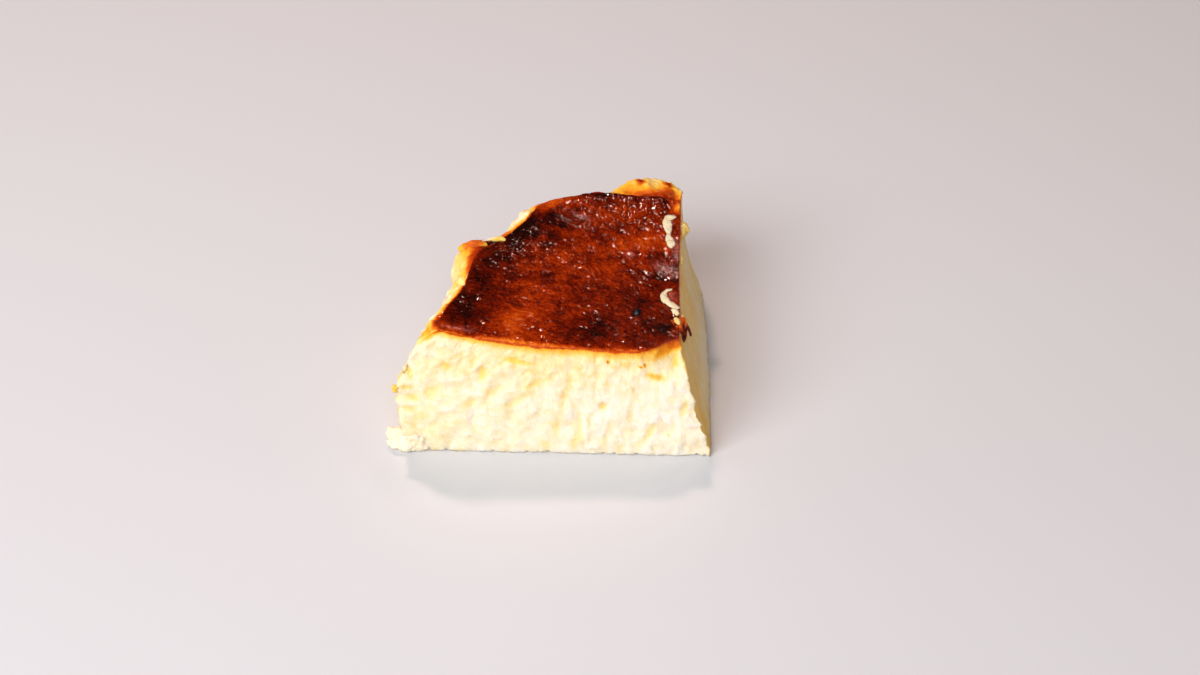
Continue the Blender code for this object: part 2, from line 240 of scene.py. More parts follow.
# %% The skin's grid
def skin_grid(edge):
    """Fills the skin's outline with a grid: blended from its four sides, then evened out."""
    front = edge[: SIDE + 1]
    far = edge[SIDE : 2 * SIDE + 1]
    back = edge[2 * SIDE : 3 * SIDE + 1][::-1]
    near = np.concatenate([edge[3 * SIDE :], edge[:1]])[::-1]
    u = np.linspace(0.0, 1.0, SIDE + 1)[:, None, None]
    v = u.transpose(1, 0, 2)
    sides = front[:, None] * (1 - v) + back[:, None] * v + near[None] * (1 - u) + far[None] * u
    ends = (front[0] * (1 - u) + front[-1] * u) * (1 - v) + (back[0] * (1 - u) + back[-1] * u) * v
    grid = sides - ends
    for _ in range(EVENING_STEPS):
        around = grid[:-2, 1:-1] + grid[2:, 1:-1] + grid[1:-1, :-2] + grid[1:-1, 2:]
        grid[1:-1, 1:-1] = around / 4
    inner = grid[1:-1, 1:-1]
    inner[..., 2] = top_height(inner[..., 0], inner[..., 1])
    return grid


skin = skin_grid(band[:, -1])
print("skin grid:", skin.shape[:2])

# %% [markdown]
# ## Broad relief
#
# A real slice is never smooth: the skin swells, the wall is dented by the paper, the front cut
# is torn into crags. These broad forms are the solid's own, so they use the same smooth noise
# with the same seeds. A point that lies on two surfaces takes the mean of both.

# %% Relief sizes of each surface
RELIEF = {
    # two layers each: size of a feature along x, y and z, height in mm, seed
    "front": (((5, 5, 6.2), 0.6, 1), ((2.4, 2.4, 3.4), 0.4, 2)),
    "right": (((6, 8.6, 20), 0.55, 4), (2.5, 0.2, 5)),
    "wall": (((7, 7, 20), 1.3, 6), (3, 0.55, 7)),
    "skin": ((12, 0.8, 9), ((5, 7, 12), 0.35, 8)),
}
SURFACES = tuple(RELIEF)
TEETH_SIZE, TEETH_HEIGHT, TEETH_REACH, TEETH_SEED = 3, 1.1, 5, 3
CORNER_SIZE, CORNER_HEIGHT, CORNER_REACH, CORNER_SEED = 3.4, 1.7, 3.5, 12
CORNER_SLOPE, CORNER_SLOPE_START, CORNER_STRETCH = 0.25, 26, 0.4
SEED_STEP = Vector((7.31, 3.17, 5.93))


def wobble(point, size, seed):
    """Smooth noise of about -1 to 1. A feature has one size, or one along each axis."""
    return noise.noise(Vector(np.asarray(point, float) / size) + SEED_STEP * seed)


def broad_relief(point, shares):
    """How far the surface stands off its plain shape, by its share of each kind of surface."""
    x, y, z = point
    out = 0.0
    for share, layers in zip(shares, RELIEF.values()):
        if share:
            out += share * sum(height * wobble(point, size, seed) for size, height, seed in layers)
    if shares[0]:
        off_tip = abs(x - float(right_cut_x(0.0, z)))
        out += TEETH_HEIGHT * math.exp(-off_tip / TEETH_REACH) * wobble((0, 0, z), TEETH_SIZE, TEETH_SEED)
    if shares[0] or shares[2]:
        off_corner = math.hypot(x + WALL_RADIUS - CORNER_SLOPE * max(0.0, z - CORNER_SLOPE_START), y)
        crag = wobble((x * CORNER_STRETCH, y * CORNER_STRETCH, z), CORNER_SIZE, CORNER_SEED)
        out += CORNER_HEIGHT * math.exp(-((off_corner / CORNER_REACH) ** 2)) * crag
    return out


print("relief on a plain spot of the front cut:", round(broad_relief((-40, 1, 20), (1, 0, 0, 0)), 2), "mm")

# %% [markdown]
# ## The foot
#
# Seen close up, the slice doesn't stand on a ruled line: it lifts off by up to a millimetre in
# places, which leaves thin dark gaps. The band's lowest row is lifted by a slow noise, and a
# hidden sole a little further in carries the slice.

# %% Lift the foot and add the sole
FOOT_LIFT, LIFT_SIZE, LIFT_SEED, LIFT_MORE = 0.9, 6, 11, 0.25
FOOT_NIBBLE, NIBBLE_SIZE, NIBBLE_SEED = 1.3, 1.6, 13
FOOT_REACH = 5
SOLE_INSET = 2.2
for column in band:
    lift = FOOT_LIFT * max(0.0, LIFT_MORE + wobble(column[0], LIFT_SIZE, LIFT_SEED))
    lift += FOOT_NIBBLE * max(0.0, wobble(column[0], NIBBLE_SIZE, NIBBLE_SEED))
    column[:, 2] += lift * np.clip(1.0 - column[:, 2] / FOOT_REACH, 0.0, 1.0)
inward = band[:, 0, :2].mean(axis=0) - band[:, 0, :2]
inward /= np.linalg.norm(inward, axis=1)[:, None]
sole = np.concatenate([band[:, 0, :2] + SOLE_INSET * inward, np.zeros((columns, 1))], axis=1)
print("foot lifted by up to", band[:, 0, 2].max().round(2), "mm")

# %% [markdown]
# ## From points to a mesh
#
# All points go into one list: the band, the skin's inner points, then the sole. Faces are
# written by number. A face's corners run anticlockwise seen from outside, so normals point out.

# %% Points and faces
points = np.concatenate([band.reshape(-1, 3), skin[1:-1, 1:-1].reshape(-1, 3), sole])
at_x, at_y, at_z = points.T
band_ids = np.arange(columns * (ROWS + 1)).reshape(columns, ROWS + 1)
rim_ids = np.append(band_ids[:, -1], band_ids[0, -1])
skin_ids = np.zeros((SIDE + 1, SIDE + 1), int)
skin_ids[1:-1, 1:-1] = band_ids.size + np.arange((SIDE - 1) ** 2).reshape(SIDE - 1, SIDE - 1)
skin_ids[:, 0] = rim_ids[: SIDE + 1]
skin_ids[SIDE, :] = rim_ids[SIDE : 2 * SIDE + 1]
skin_ids[::-1, SIDE] = rim_ids[2 * SIDE : 3 * SIDE + 1]
skin_ids[0, ::-1] = rim_ids[3 * SIDE :]
sole_ids = len(points) - columns + np.arange(columns)


def squares(*corners):
    """Four-cornered faces from four equal grids of point numbers."""
    return np.stack(corners, axis=-1).reshape(-1, 4).tolist()


after = np.roll(band_ids, -1, axis=0)
faces = squares(band_ids[:, :-1], band_ids[:, 1:], after[:, 1:], after[:, :-1])
faces += squares(skin_ids[:-1, :-1], skin_ids[:-1, 1:], skin_ids[1:, 1:], skin_ids[1:, :-1])
faces += squares(sole_ids, band_ids[:, 0], after[:, 0], np.roll(sole_ids, -1))
faces.append(sole_ids.tolist())
print(len(points), "points,", len(faces), "faces")

# %% Which surface each point belongs to
FRONT, RIGHT, WALL, SKIN = range(4)
shares = np.zeros((len(points), len(SURFACES)))
for surface, start, end in ((FRONT, 0, SIDE), (WALL, SIDE, 3 * SIDE), (RIGHT, 3 * SIDE, columns)):
    run = np.arange(start, end + 1) % columns
    shares[band_ids[run].ravel(), surface] = 1.0
    shares[sole_ids[run], surface] = 1.0
shares[skin_ids.ravel(), SKIN] = 1.0
shares /= shares.sum(axis=1, keepdims=True)
print("share of each surface:", dict(zip(SURFACES, shares.mean(axis=0).round(2))))


# %% A first mesh with the broad relief
def new_object(name, data):
    """An object in the scene that shows the given data."""
    made = bpy.data.objects.new(name, data)
    bpy.context.scene.collection.objects.link(made)
    return made


HELD_BELOW, FOOT_KEEPS = 3, 0.3
slice_mesh = bpy.data.meshes.new("cheesecake_slice")
slice_mesh.from_pydata(points.tolist(), [], faces)
slice_mesh.validate()
slice_mesh.shade_smooth()
slice_piece = new_object("cheesecake_slice", slice_mesh)
normals = np.array([vertex.normal for vertex in slice_mesh.vertices])
stand_off = np.array([broad_relief(point, share) for point, share in zip(points, shares)])
held = np.clip(at_z / HELD_BELOW, 0.0, 1.0)
sideways = FOOT_KEEPS + (1.0 - FOOT_KEEPS) * held
moved = points + normals * stand_off[:, None] * np.stack([sideways, sideways, held], axis=1)
moved[sole_ids] = points[sole_ids]
print("relief from", stand_off.min().round(2), "to", stand_off.max().round(2), "mm")

# %% [markdown]
# ## Frayed edges
#
# Soft curd frays where two cuts meet, and the right cut's foot was nibbled as the knife came
# out. Both are a coarse noise with a finer one on top, which dies away from the edge.

# %% Fray the tip's edge and the right cut's foot
FRINGE_HEIGHT, FRINGE_REACH = 0.8, 2.2
MARGIN_HEIGHT, MARGIN_REACH = 0.75, 7
# coarse size, fine size, share of the fine noise, seed
FRINGE_NOISE, MARGIN_NOISE = (2.2, 0.9, 0.8, 14), ((3.2, 3.2, 5), 1.4, 0.7, 16)


def two_wobbles(point, coarse, fine, share, seed):
    """A coarse noise with its share of a finer one."""
    return wobble(point, coarse, seed) + share * wobble(point, fine, seed + 1)


off_edge = np.linalg.norm(points - tip_edge(np.minimum(at_z, TIP_TOP)), axis=1)
fringe = np.array([two_wobbles((0, 0, z), *FRINGE_NOISE) for z in at_z])
moved[:, 0] += FRINGE_HEIGHT * fringe * held * np.exp(-off_edge / FRINGE_REACH)
margin = np.array([two_wobbles((0, y, z), *MARGIN_NOISE) for x, y, z in points])
margin *= shares[:, RIGHT] * np.clip(at_z, 0.3, 1.0) * np.exp(-at_z / MARGIN_REACH)
moved[:, 0] += MARGIN_HEIGHT * margin
print("right cut's foot frayed by up to", (MARGIN_HEIGHT * margin.max()).round(2), "mm")

# %% [markdown]
# ## Folds and a dark pocket
#
# As the middle sank, the skin puckered along a few lines. The deepest runs in from the right
# cut, where the skin dips towards the line and stands up again in front of it. At the left a
# pleat of the paper left a short deep pocket.


# %% Press the pocket in
def turned_about(x, y, centre_x, centre_y, turn):
    """Distances along and across a direction through a centre, at a turn in degrees."""
    turn = math.radians(turn)
    along = (x - centre_x) * math.cos(turn) + (y - centre_y) * math.sin(turn)
    across = -(x - centre_x) * math.sin(turn) + (y - centre_y) * math.cos(turn)
    return along, across


POCKET_PLACE = (-66.7, 47.6, 32)
POCKET_LONG, POCKET_WIDE, POCKET_DEPTH, POCKET_FLOOR = 2.4, 1.25, 5, 30
along, across = turned_about(at_x, at_y, *POCKET_PLACE)
pocket = np.exp(-((along / POCKET_LONG) ** 4) - (across / POCKET_WIDE) ** 4) * (at_z > POCKET_FLOOR)
moved[:, 2] -= POCKET_DEPTH * pocket
print("points in the pocket:", (pocket > 0.5).sum())

# %% Press the folds in
FOLDS = (
    # from x, y to x, y, depth, reach on its left and right in mm
    (-19, 37.4, -8.6, 34.8, 0.6, 2.2, 0.4), (-41.8, 53.5, -43.2, 44.3, 0.3, 0.8, 0.8),
    (-44.3, 25.5, -45.6, 14, 0.22, 0.8, 0.8), (-40.2, 36, -41.2, 25, 0.2, 0.8, 0.8),
    (-51.4, 45, -48.6, 36.8, 0.2, 0.7, 0.7), (-61.2, 47, -59.9, 34.5, 0.25, 0.9, 0.9),
    (-59.9, 36.5, -62, 23, 0.25, 0.9, 0.9), (-35.5, 63, -24, 57.6, 0.35, 0.8, 2.6),
    (-37, 76, -29, 64, 0.3, 0.9, 0.9),
)


def fold_depth(x, y):
    """How deep the folds press the skin in at a place in plan."""
    total = np.zeros_like(x)
    for start_x, start_y, end_x, end_y, depth, left, right in FOLDS:
        length = math.hypot(end_x - start_x, end_y - start_y)
        run_x, run_y = (end_x - start_x) / length, (end_y - start_y) / length
        along = ((x - start_x) * run_x + (y - start_y) * run_y) / length
        off = (y - start_y) * run_x - (x - start_x) * run_y
        fade = smooth_step(3.0 * (0.5 - np.abs(along - 0.5)))
        total += depth * fade * np.exp(-((off / np.where(off > 0.0, left, right)) ** 2))
    return total


folded = fold_depth(at_x, at_y) * shares[:, SKIN]
moved[:, 2] -= folded
slice_mesh.vertices.foreach_set("co", moved.ravel())
print(len(FOLDS), "folds, the deepest", folded.max().round(2), "mm")

# %% [markdown]
# ## What each point knows about itself
#
# A material can only colour what it can measure. So each point carries a few numbers: how far
# it lies under the skin's edge, how far from the browned wall, how dark the oven left it. They
# are stored as attributes, which the relief below and the shader both read.

# %% Distances along the surface
FAR = 99.0
EDGE_FADE, EDGE_SHIFT = 3, 0.2
steps = np.linalg.norm(np.diff(band, axis=1), axis=2)
down = np.concatenate([np.cumsum(steps[:, ::-1], axis=1)[:, ::-1], np.zeros((columns, 1))], axis=1)
below_skin, below_rim, from_wall = np.full((3, len(points)), FAR)
cut_columns = np.arange(3 * SIDE, columns + SIDE + 1) % columns
below_skin[band_ids[cut_columns]] = down[cut_columns]
below_rim[band_ids[SIDE : 3 * SIDE + 1]] = down[SIDE : 3 * SIDE + 1]
from_wall[band_ids[: SIDE + 1]] = np.linalg.norm(band[: SIDE + 1] - band[SIDE], axis=2)
from_wall[band_ids[3 * SIDE :]] = np.linalg.norm(band[3 * SIDE :] - band[3 * SIDE], axis=2)

# %% Distances across the skin
flat_ids = skin_ids.ravel()
flat_x, flat_y, flat_z = skin.reshape(-1, 3).T
skin_edge = outline(np.degrees(np.arctan2(flat_y, -flat_x)), 1)
to_front = flat_y - FRONT_LEAN * flat_z
to_right = right_cut_x(flat_y, flat_z) - flat_x
below_rim[flat_ids] = -np.clip(skin_edge - np.hypot(flat_x, flat_y), 0.0, None)
below_skin[flat_ids] = -np.clip(np.minimum(to_front, to_right), 0.0, None)
front_edge = np.zeros(len(points))
front_edge[flat_ids] = smooth_step((to_right - to_front) / EDGE_FADE + EDGE_SHIFT)
print("skin reaches", -below_rim[flat_ids].min().round(1), "mm in from the wall")

# %% [markdown]
# ## How dark the oven left it
#
# Browning runs from 0, pale cream, to 1, nearly black. On the real skin it drifts: a dark band
# by the wall, a redder middle where the batter sank, a bright patch near the front cut. Twenty
# soft patches say so, each with its place, its two half widths, its turn and how much it adds.

# %% Toast patches on the skin
# FOLD_SHADE darkens the skin in proportion to how deep a fold presses it in: painted shade
PLAIN_TOAST, FOLD_SHADE = 0.79, 0.2
TOAST_PATCHES = (
    # x, y, half length, half width, turn in degrees, amount
    (-70, 30, 24, 6.5, 68, 0.12), (-70, 14, 9, 6, 20, 0.08), (-57, 57, 14, 7.5, 42, 0.12),
    (-57, 50, 8, 5, 30, 0.1), (-46, 60, 9, 3.5, 20, 0.1), (-28, 75, 24, 4, 4, 0.13),
    (-53, 16, 8, 10, -10, -0.1), (-57.5, 9, 4.5, 5, -10, -0.13), (-44, 40, 14, 8, 5, -0.09),
    (-24, 53, 13, 5, 4, -0.14), (-30, 66, 12, 3.5, 5, -0.07), (-27, 12, 18, 9, 4, 0.08),
    (-14.8, 13, 2.8, 2.4, 0, 0.2), (-48.2, 35.5, 2.6, 3, 0, 0.13), (-33, 55, 5, 3.2, -15, 0.1),
    (-26, 27, 13, 3, -12, 0.06), (-75, 5, 5, 1.4, -4, -0.14), (-22.5, 19.6, 1.7, 1.9, 0, 0.18),
    # the last patch is painted shade along the fold by the right cut, where its flap overlaps the skin
    (-10.2, 70, 1.7, 2.4, 0, -0.38), (-13, 35.8, 4, 0.6, -13, 0.22),
)


def patches(x, y, table):
    """Adds up soft round patches in plan."""
    total = np.zeros_like(x)
    for centre_x, centre_y, long, wide, turn, amount in table:
        along, across = turned_about(x, y, centre_x, centre_y, turn)
        total += amount * np.exp(-((along / long) ** 2) - (across / wide) ** 2)
    return total


toast = PLAIN_TOAST + patches(at_x, at_y, TOAST_PATCHES) + FOLD_SHADE * folded
toast = np.clip(toast, 0.0, 1.0)
print("toast on the skin from", toast[flat_ids].min().round(2), "to", toast[flat_ids].max().round(2))

# %% [markdown]
# ## Where the skin gathered, where a film dulls it, and its painted sheen
#
# The skin is most wrinkled along the back and the upper left, and nearly smooth in front. A thin
# whey film dulls a few spots, where a pale lilac painted sheen stands for the light it reflects. The
# wall is roughest at two places of its rim, where curd stuck to the paper and tore. All are patches again.

# %% Wrinkles, rough rims, films and painted sheen
PLAIN_GATHER = 0.55
GATHER_PATCHES = (
    (-38, 67, 24, 8.5, 14, 0.68), (-22, 50, 14, 10, 0, 0.42), (-53, 48, 11, 9, 45, 0.22),
    (-15, 12.8, 4, 3.2, 0, 0.7), (-70, 15, 10, 9, 0, -0.25), (-38, 10, 20, 7, 0, -0.1),
)
ROUGH_RIMS = (
    # degrees round from the front cut, height, half widths, turn, amount
    (79, 37, 8, 5, 0, 3), (14, 37, 15, 7, 0, 4),
)
# spots where a film makes the skin duller and a pale lilac painted sheen lies on it
SHEEN_FILM_PATCHES = (
    (-12.6, 40.6, 3.4, 1.9, -30, 0.8), (-10.6, 47.4, 1.2, 1.9, 0, 0.5), (-40, 64.2, 2.8, 0.9, -28, 0.4),
    (-12.2, 27.6, 1.3, 2, 0, 0.22), (-11, 52.5, 1.3, 3, 0, 0.3), (-73.5, 5.2, 3.4, 0.5, 2, 0.4),
    (-24.5, 47.6, 1, 1.3, 0, 0.4), (-44.8, 62.2, 1.6, 0.7, -20, 0.35),
)
angle_round = np.arctan2(at_y, -at_x)
degrees_round = np.degrees(angle_round)
gather = PLAIN_GATHER + patches(at_x, at_y, GATHER_PATCHES)
gather = np.where(shares[:, WALL] > 0.0, 1.0 + patches(degrees_round, at_z, ROUGH_RIMS), gather)
film_and_sheen = patches(at_x, at_y, SHEEN_FILM_PATCHES)
print("wrinkle strength from", gather[flat_ids].min().round(2), "to", gather[flat_ids].max().round(2))

# %% [markdown]
# ## Browning of the wall, painted light and shade on the cuts
#
# The wall browned in blotches where the paper touched it. Here the patches lie in degrees round
# the cake and millimetres below the rim. The cuts get soft patches of painted light and shade.

# %% Patches on the wall and the cuts
WALL_PATCHES = (
    # degrees round from the front cut, mm below the rim, half widths, turn, amount
    (72.5, 5, 3.6, 6, 0, 0.1), (78, 2.5, 3.4, 2.4, 0, 0.26), (81.2, 5.6, 2, 3.4, 0, 0.34),
    (75.7, 10.5, 0.9, 1.4, 0, 0.6), (81.6, 11.5, 1, 1.6, 0, 0.6), (86, 7, 2, 8, 0, -0.15),
    (18, 0.5, 13, 3.6, 0, -0.2), (4.6, 0, 3, 1.7, 0, 0.45), (46.5, 1.5, 5, 4, 0, -0.24),
    (5, 4.5, 4, 3, 0, 0.06), (37, 1, 2.5, 4, 0, 0.1), (27, 7.5, 6, 5, 0, -0.03),
    (26, 1, 3, 1.2, 0, 0.14), (54, 5, 2, 4, 0, 0.16), (36, 4, 3, 3, 0, 0.1), (10, 6, 10, 12, 0, -0.13),
    (33.5, 3.4, 2.8, 4, 0, 0.4), (30, 1.2, 3, 1.6, 0, 0.18), (46, 8, 4.5, 6, 0, -0.1),
    (4, 7, 2, 4, 0, 0.12),
)
# painted light and shade on the right cut, such as its lighter foot and a darker strip by the tip
RIGHT_PAINTED_LIGHT = (
    # along y, height, half length, half height, turn, amount
    (46, 4, 28, 8, -4, -0.14), (60, 24, 9, 16, 0, -0.07), (6, 10, 8, 22, 0, 0.05),
    (30, 33, 16, 3, 0, -0.03), (84, 20, 7, 30, 0, -0.05),
)
# painted light on the front cut: lighter low on the right, darker at the left and the upper left
FRONT_PAINTED_LIGHT = (
    # along x, height, half length, half height, turn, amount
    (-20, 10, 22, 12, 0, -0.03), (-60, 30, 30, 6, 0, 0.045), (-84, 9, 10, 9, 0, 0.04),
)
wall_toast = patches(degrees_round, np.where(below_rim < FAR, below_rim, -FAR), WALL_PATCHES)
cut_painted_light = patches(at_y, at_z, RIGHT_PAINTED_LIGHT) * shares[:, RIGHT]
cut_painted_light += patches(at_x, at_z, FRONT_PAINTED_LIGHT) * shares[:, FRONT]
print("wall patches add up to", wall_toast.max().round(2))

# %% [markdown]
# ## Pits and stains on the front cut
#
# The torn cut has small pits where whey ran out, and a few caramel stains. The pits' yellow is
# painted bounce light, for the light that bounces inside them. Each has a place along and up the
# cut, two half sizes, a turn, how much it colours and how deep it is.

# %% Pits in the front cut
CUT_PITS = (
    # along x, height, half width, half height, turn, colour, depth
    (-87.2, 28.3, 0.7, 2, 12, 0.2, 0.9), (-87.9, 23, 1.6, 0.7, 0, 0.26, 0.8),
    (-86.3, 19.2, 1.9, 1.1, -20, 0.16, 0.7), (-88, 15.4, 1.8, 0.8, 0, 0.16, 0.7),
    (-76.8, 30.7, 1, 1.4, 20, 0.18, 0.8), (-66.4, 28.2, 0.9, 2.3, -6, 0.15, 0.8),
    (-81.1, 21.6, 1.7, 2.6, -40, 0.08, 1), (-57.5, 33.2, 2.7, 0.7, -12, 0.24, 1),
    (-53.2, 32.2, 2.6, 0.6, -8, 0.1, 0.5), (-25.5, 32.8, 2.1, 1.3, 10, 0.16, 0.1),
    (-16.8, 28.3, 2.3, 0.9, -12, 0.34, 0.4), (-31.7, 17.4, 0.9, 1.2, 0, 0.2, 0.9),
    (-18, 8, 0.9, 3.2, -34, 0.13, 0.7), (-39.6, 4.5, 1, 2.4, -6, 0.1, 0.6),
    (-48, 2.6, 1.3, 2.2, 8, 0.08, 0.5), (-8.2, 17.5, 0.8, 2.8, -12, 0.16, 0.8),
    (-11.2, 31.6, 1, 1.4, -20, 0.22, 0.9), (-57, 18.6, 1.1, 4.2, -50, 0.06, 0.7),
    (-30.6, 33.4, 0.35, 0.4, 0, 0.9, 0.3), (-21.2, 31.7, 0.45, 0.3, 0, 0.7, 0.3),
    (-20, 32, 0.3, 0.45, 0, 0.9, 0.3), (-12.3, 7.5, 0.25, 0.3, 0, 0.8, 0.2),
    (-51.5, 25, 1, 3.2, -56, 0.06, 0.7), (-63.5, 21.5, 1, 2.8, -58, 0.05, 0.6),
    (-42.5, 22, 1, 5.5, -14, 0.05, 0.6), (-38.5, 11, 1, 6, 4, 0.04, 0.6),
    (-30, 8, 0.9, 5.5, -16, 0.04, 0.5), (-24, 13, 0.9, 5, -8, 0.04, 0.6),
    (-45, 9, 1.2, 3, -10, 0.05, 0.5), (-70.5, 17.5, 1.4, 2.6, -62, 0.07, 0.6),
    (-13, 34.6, 5, 1.3, 12, 0.34, 0),
)
CARAMEL_FROM, PIT_BOUNCE_STRENGTH = 0.3, 3.6
PIT_FLATNESS, DEPTH_IN_MM = 1.3, 0.45
front_ids = band_ids[: SIDE + 1].ravel()
stain, painted_pit_bounce, pit = np.zeros((3, len(points)))
for *spot, colour, depth in CUT_PITS:
    soft = np.minimum(1.0, PIT_FLATNESS * patches(at_x[front_ids], at_z[front_ids], [(*spot, 1.0)]))
    pit[front_ids] += DEPTH_IN_MM * depth * soft
    # a colour below CARAMEL_FROM is painted bounce light inside the pit; a higher one is a real caramel
    # stain
    if colour < CARAMEL_FROM:
        painted_pit_bounce[front_ids] += PIT_BOUNCE_STRENGTH * colour * soft
    else:
        stain[front_ids] += colour * soft
print(len(CUT_PITS), "pits, the deepest", pit.max().round(2), "mm")


# %% Store them on the mesh
def store(piece, name, values):
    """Keeps one number for each point as a named attribute."""
    attribute = piece.data.attributes.new(name, "FLOAT", "POINT")
    attribute.data.foreach_set("value", np.asarray(values, np.float32))


GLOWING_RIM = ((54.5, 4.5, 1), (27, 7, 0.3), (4, 5, 0.2))
SKIN_ARC_RADIUS = 55
POINT_FACTS = {
    **dict(zip(SURFACES, shares.T)),
    "below_skin": below_skin, "below_rim": below_rim, "from_wall": from_wall, "front_edge": front_edge,
    "toast": toast, "wall_toast": wall_toast, "cut_painted_light": cut_painted_light, "stain": stain, "painted_pit_bounce": painted_pit_bounce,
    "pit": pit, "shaded_pocket": pocket, "gather": gather, "film_and_sheen": film_and_sheen, "glow": swing(degrees_round, GLOWING_RIM),
    "out_from_tip": np.hypot(at_x, at_y), "round_from_tip": angle_round * SKIN_ARC_RADIUS,
}
for name, values in POINT_FACTS.items():
    store(slice_piece, name, values)
print("attributes:", ", ".join(POINT_FACTS))

# %% [markdown]
# ## A short way to write node trees
#
# Both the relief and the materials are node trees. Written out in full, each node takes four
# or five lines. Two small classes shorten that: a wire is a node's output that takes part in
# plain sums, and a bench adds a node and feeds it. A tree below then reads like a recipe, and
# is still tidy when it is opened in Blender.


# %% Wires that do sums
class Wire:
    """A node's output. Adding or multiplying wires and numbers adds the math node for it."""

    def __init__(self, bench, socket):
        self.bench, self.socket, self.node = bench, socket, socket.node

    def output(self, name):
        """Another output of the same node."""
        return Wire(self.bench, self.node.outputs[name])

    def __add__(self, other):
        return self.bench.math("ADD", self, other)

    def __sub__(self, other):
        return self.bench.math("SUBTRACT", self, other)

    def __rsub__(self, other):
        return self.bench.math("SUBTRACT", other, self)

    def __mul__(self, other):
        return self.bench.math("MULTIPLY", self, other)

    def __truediv__(self, other):
        return self.bench.math("DIVIDE", self, other)

    def __rtruediv__(self, other):
        return self.bench.math("DIVIDE", other, self)

    __radd__, __rmul__ = __add__, __mul__


# %% A bench to build nodes on
class Bench:
    """Adds nodes to a tree, each fed as it is made, and hands back the first output as a wire."""

    def __init__(self, tree):
        self.tree, self.inside = tree, None

    def given(self, name):
        """An input of the node group."""
        if self.inside is None:
            self.inside = self.tree.nodes.new("NodeGroupInput")
        return Wire(self, self.inside.outputs[name])

    def node(self, kind, inputs=None, **settings):
        made = self.tree.nodes.new(kind)
        made.location = (180.0 * (len(self.tree.nodes) % 12), -260.0 * (len(self.tree.nodes) // 12))
        for name, value in settings.items():
            setattr(made, name, value)
        for name, value in (inputs or {}).items():
            if isinstance(value, Wire):
                self.tree.links.new(value.socket, made.inputs[name])
            else:
                made.inputs[name].default_value = value
        return Wire(self, made.outputs[0]) if len(made.outputs) else made

    def math(self, operation, *values):
        return self.node("ShaderNodeMath", dict(enumerate(values)), operation=operation)

    def vector(self, operation, first, second):
        """A sum of two vectors. SCALE takes a number second."""
        inputs = {0: first, "Scale" if operation == "SCALE" else 1: second}
        return self.node("ShaderNodeVectorMath", inputs, operation=operation)

    def xyz(self, x, y, z):
        return self.node("ShaderNodeCombineXYZ", {0: x, 1: y, 2: z})

    def ramp(self, value, low, high, start=0.0, end=1.0):
        """A soft step: start below low, end above high."""
        inputs = {"Value": value, "From Min": low, "From Max": high, "To Min": start, "To Max": end}
        return self.node("ShaderNodeMapRange", inputs, interpolation_type="SMOOTHSTEP")

    def mix(self, share, first, second):
        """Between two numbers."""
        return self.node("ShaderNodeMix", {0: share, 2: first, 3: second})

    def mix_colours(self, share, first, second, blend="MIX"):
        """Between two colours."""
        inputs = {0: share, 6: first, 7: second}
        return self.node("ShaderNodeMix", inputs, data_type="RGBA", blend_type=blend).output(2)

    def noise(self, place, size=1.0, detail=2.0, roughness=0.5):
        """Smooth noise from 0 to 1 with features of one size, in millimetres."""
        inputs = {"Vector": place, "Scale": 1.0 / size, "Detail": detail, "Roughness": roughness}
        return self.node("ShaderNodeTexNoise", inputs)

    def around(self, place, size, amount, detail=2.0):
        """The same noise as a push of plus or minus half the amount."""
        return (self.noise(place, size, detail) - 0.5) * amount

    def cells(self, place, scale, feature, **inputs):
        """Distances within cells, to the nearest middle or border."""
        inputs = {"Vector": place, "Scale": scale, **inputs}
        return self.node("ShaderNodeTexVoronoi", inputs, feature=feature)

    def group(self, tree, **inputs):
        return self.node("ShaderNodeGroup", inputs, node_tree=tree)

    def millimetres(self):
        """The place in the object, in millimetres."""
        inputs = {"Vector": self.node("ShaderNodeTexCoord").output("Object"), "Scale": (1.0 / MM,) * 3}
        return self.node("ShaderNodeMapping", inputs, vector_type="POINT")

    def fact(self, name):
        """A number that each point of the mesh keeps."""
        if self.tree.type == "GEOMETRY":
            return self.node("GeometryNodeInputNamedAttribute", {"Name": name}, data_type="FLOAT")
        return self.node("ShaderNodeAttribute", attribute_name=name).output("Fac")


# %% An empty node group
NUMBER, SHAPE = "NodeSocketFloat", "NodeSocketGeometry"
COLOUR, ARROW = "NodeSocketColor", "NodeSocketVector"


def new_group(name, kind, inputs, outputs):
    """An empty node group with named sockets, each a (name, socket type, default) row."""
    tree = bpy.data.node_groups.new(name, kind)
    for rows, side in ((inputs, "INPUT"), (outputs, "OUTPUT")):
        for label, socket_type, default in rows:
            socket = tree.interface.new_socket(label, in_out=side, socket_type=socket_type)
            if default is not None:
                socket.default_value = default
    return tree


print("the bench is ready")

# %% [markdown]
# ## Fine relief with Geometry Nodes
#
# Each surface tore or baked in its own way: the front cut in soft lumps of curd, the right cut
# in faint knife drags, the wall in the creases of the parchment, the skin in leathery wrinkles
# that run out from the middle of the cake. It could be sculpted, but noise that follows a rule
# is quicker to change. One tree moves each point along its normal by the sum of the four, each
# weighed by the point's share in that surface, and keeps the height for the material to read.

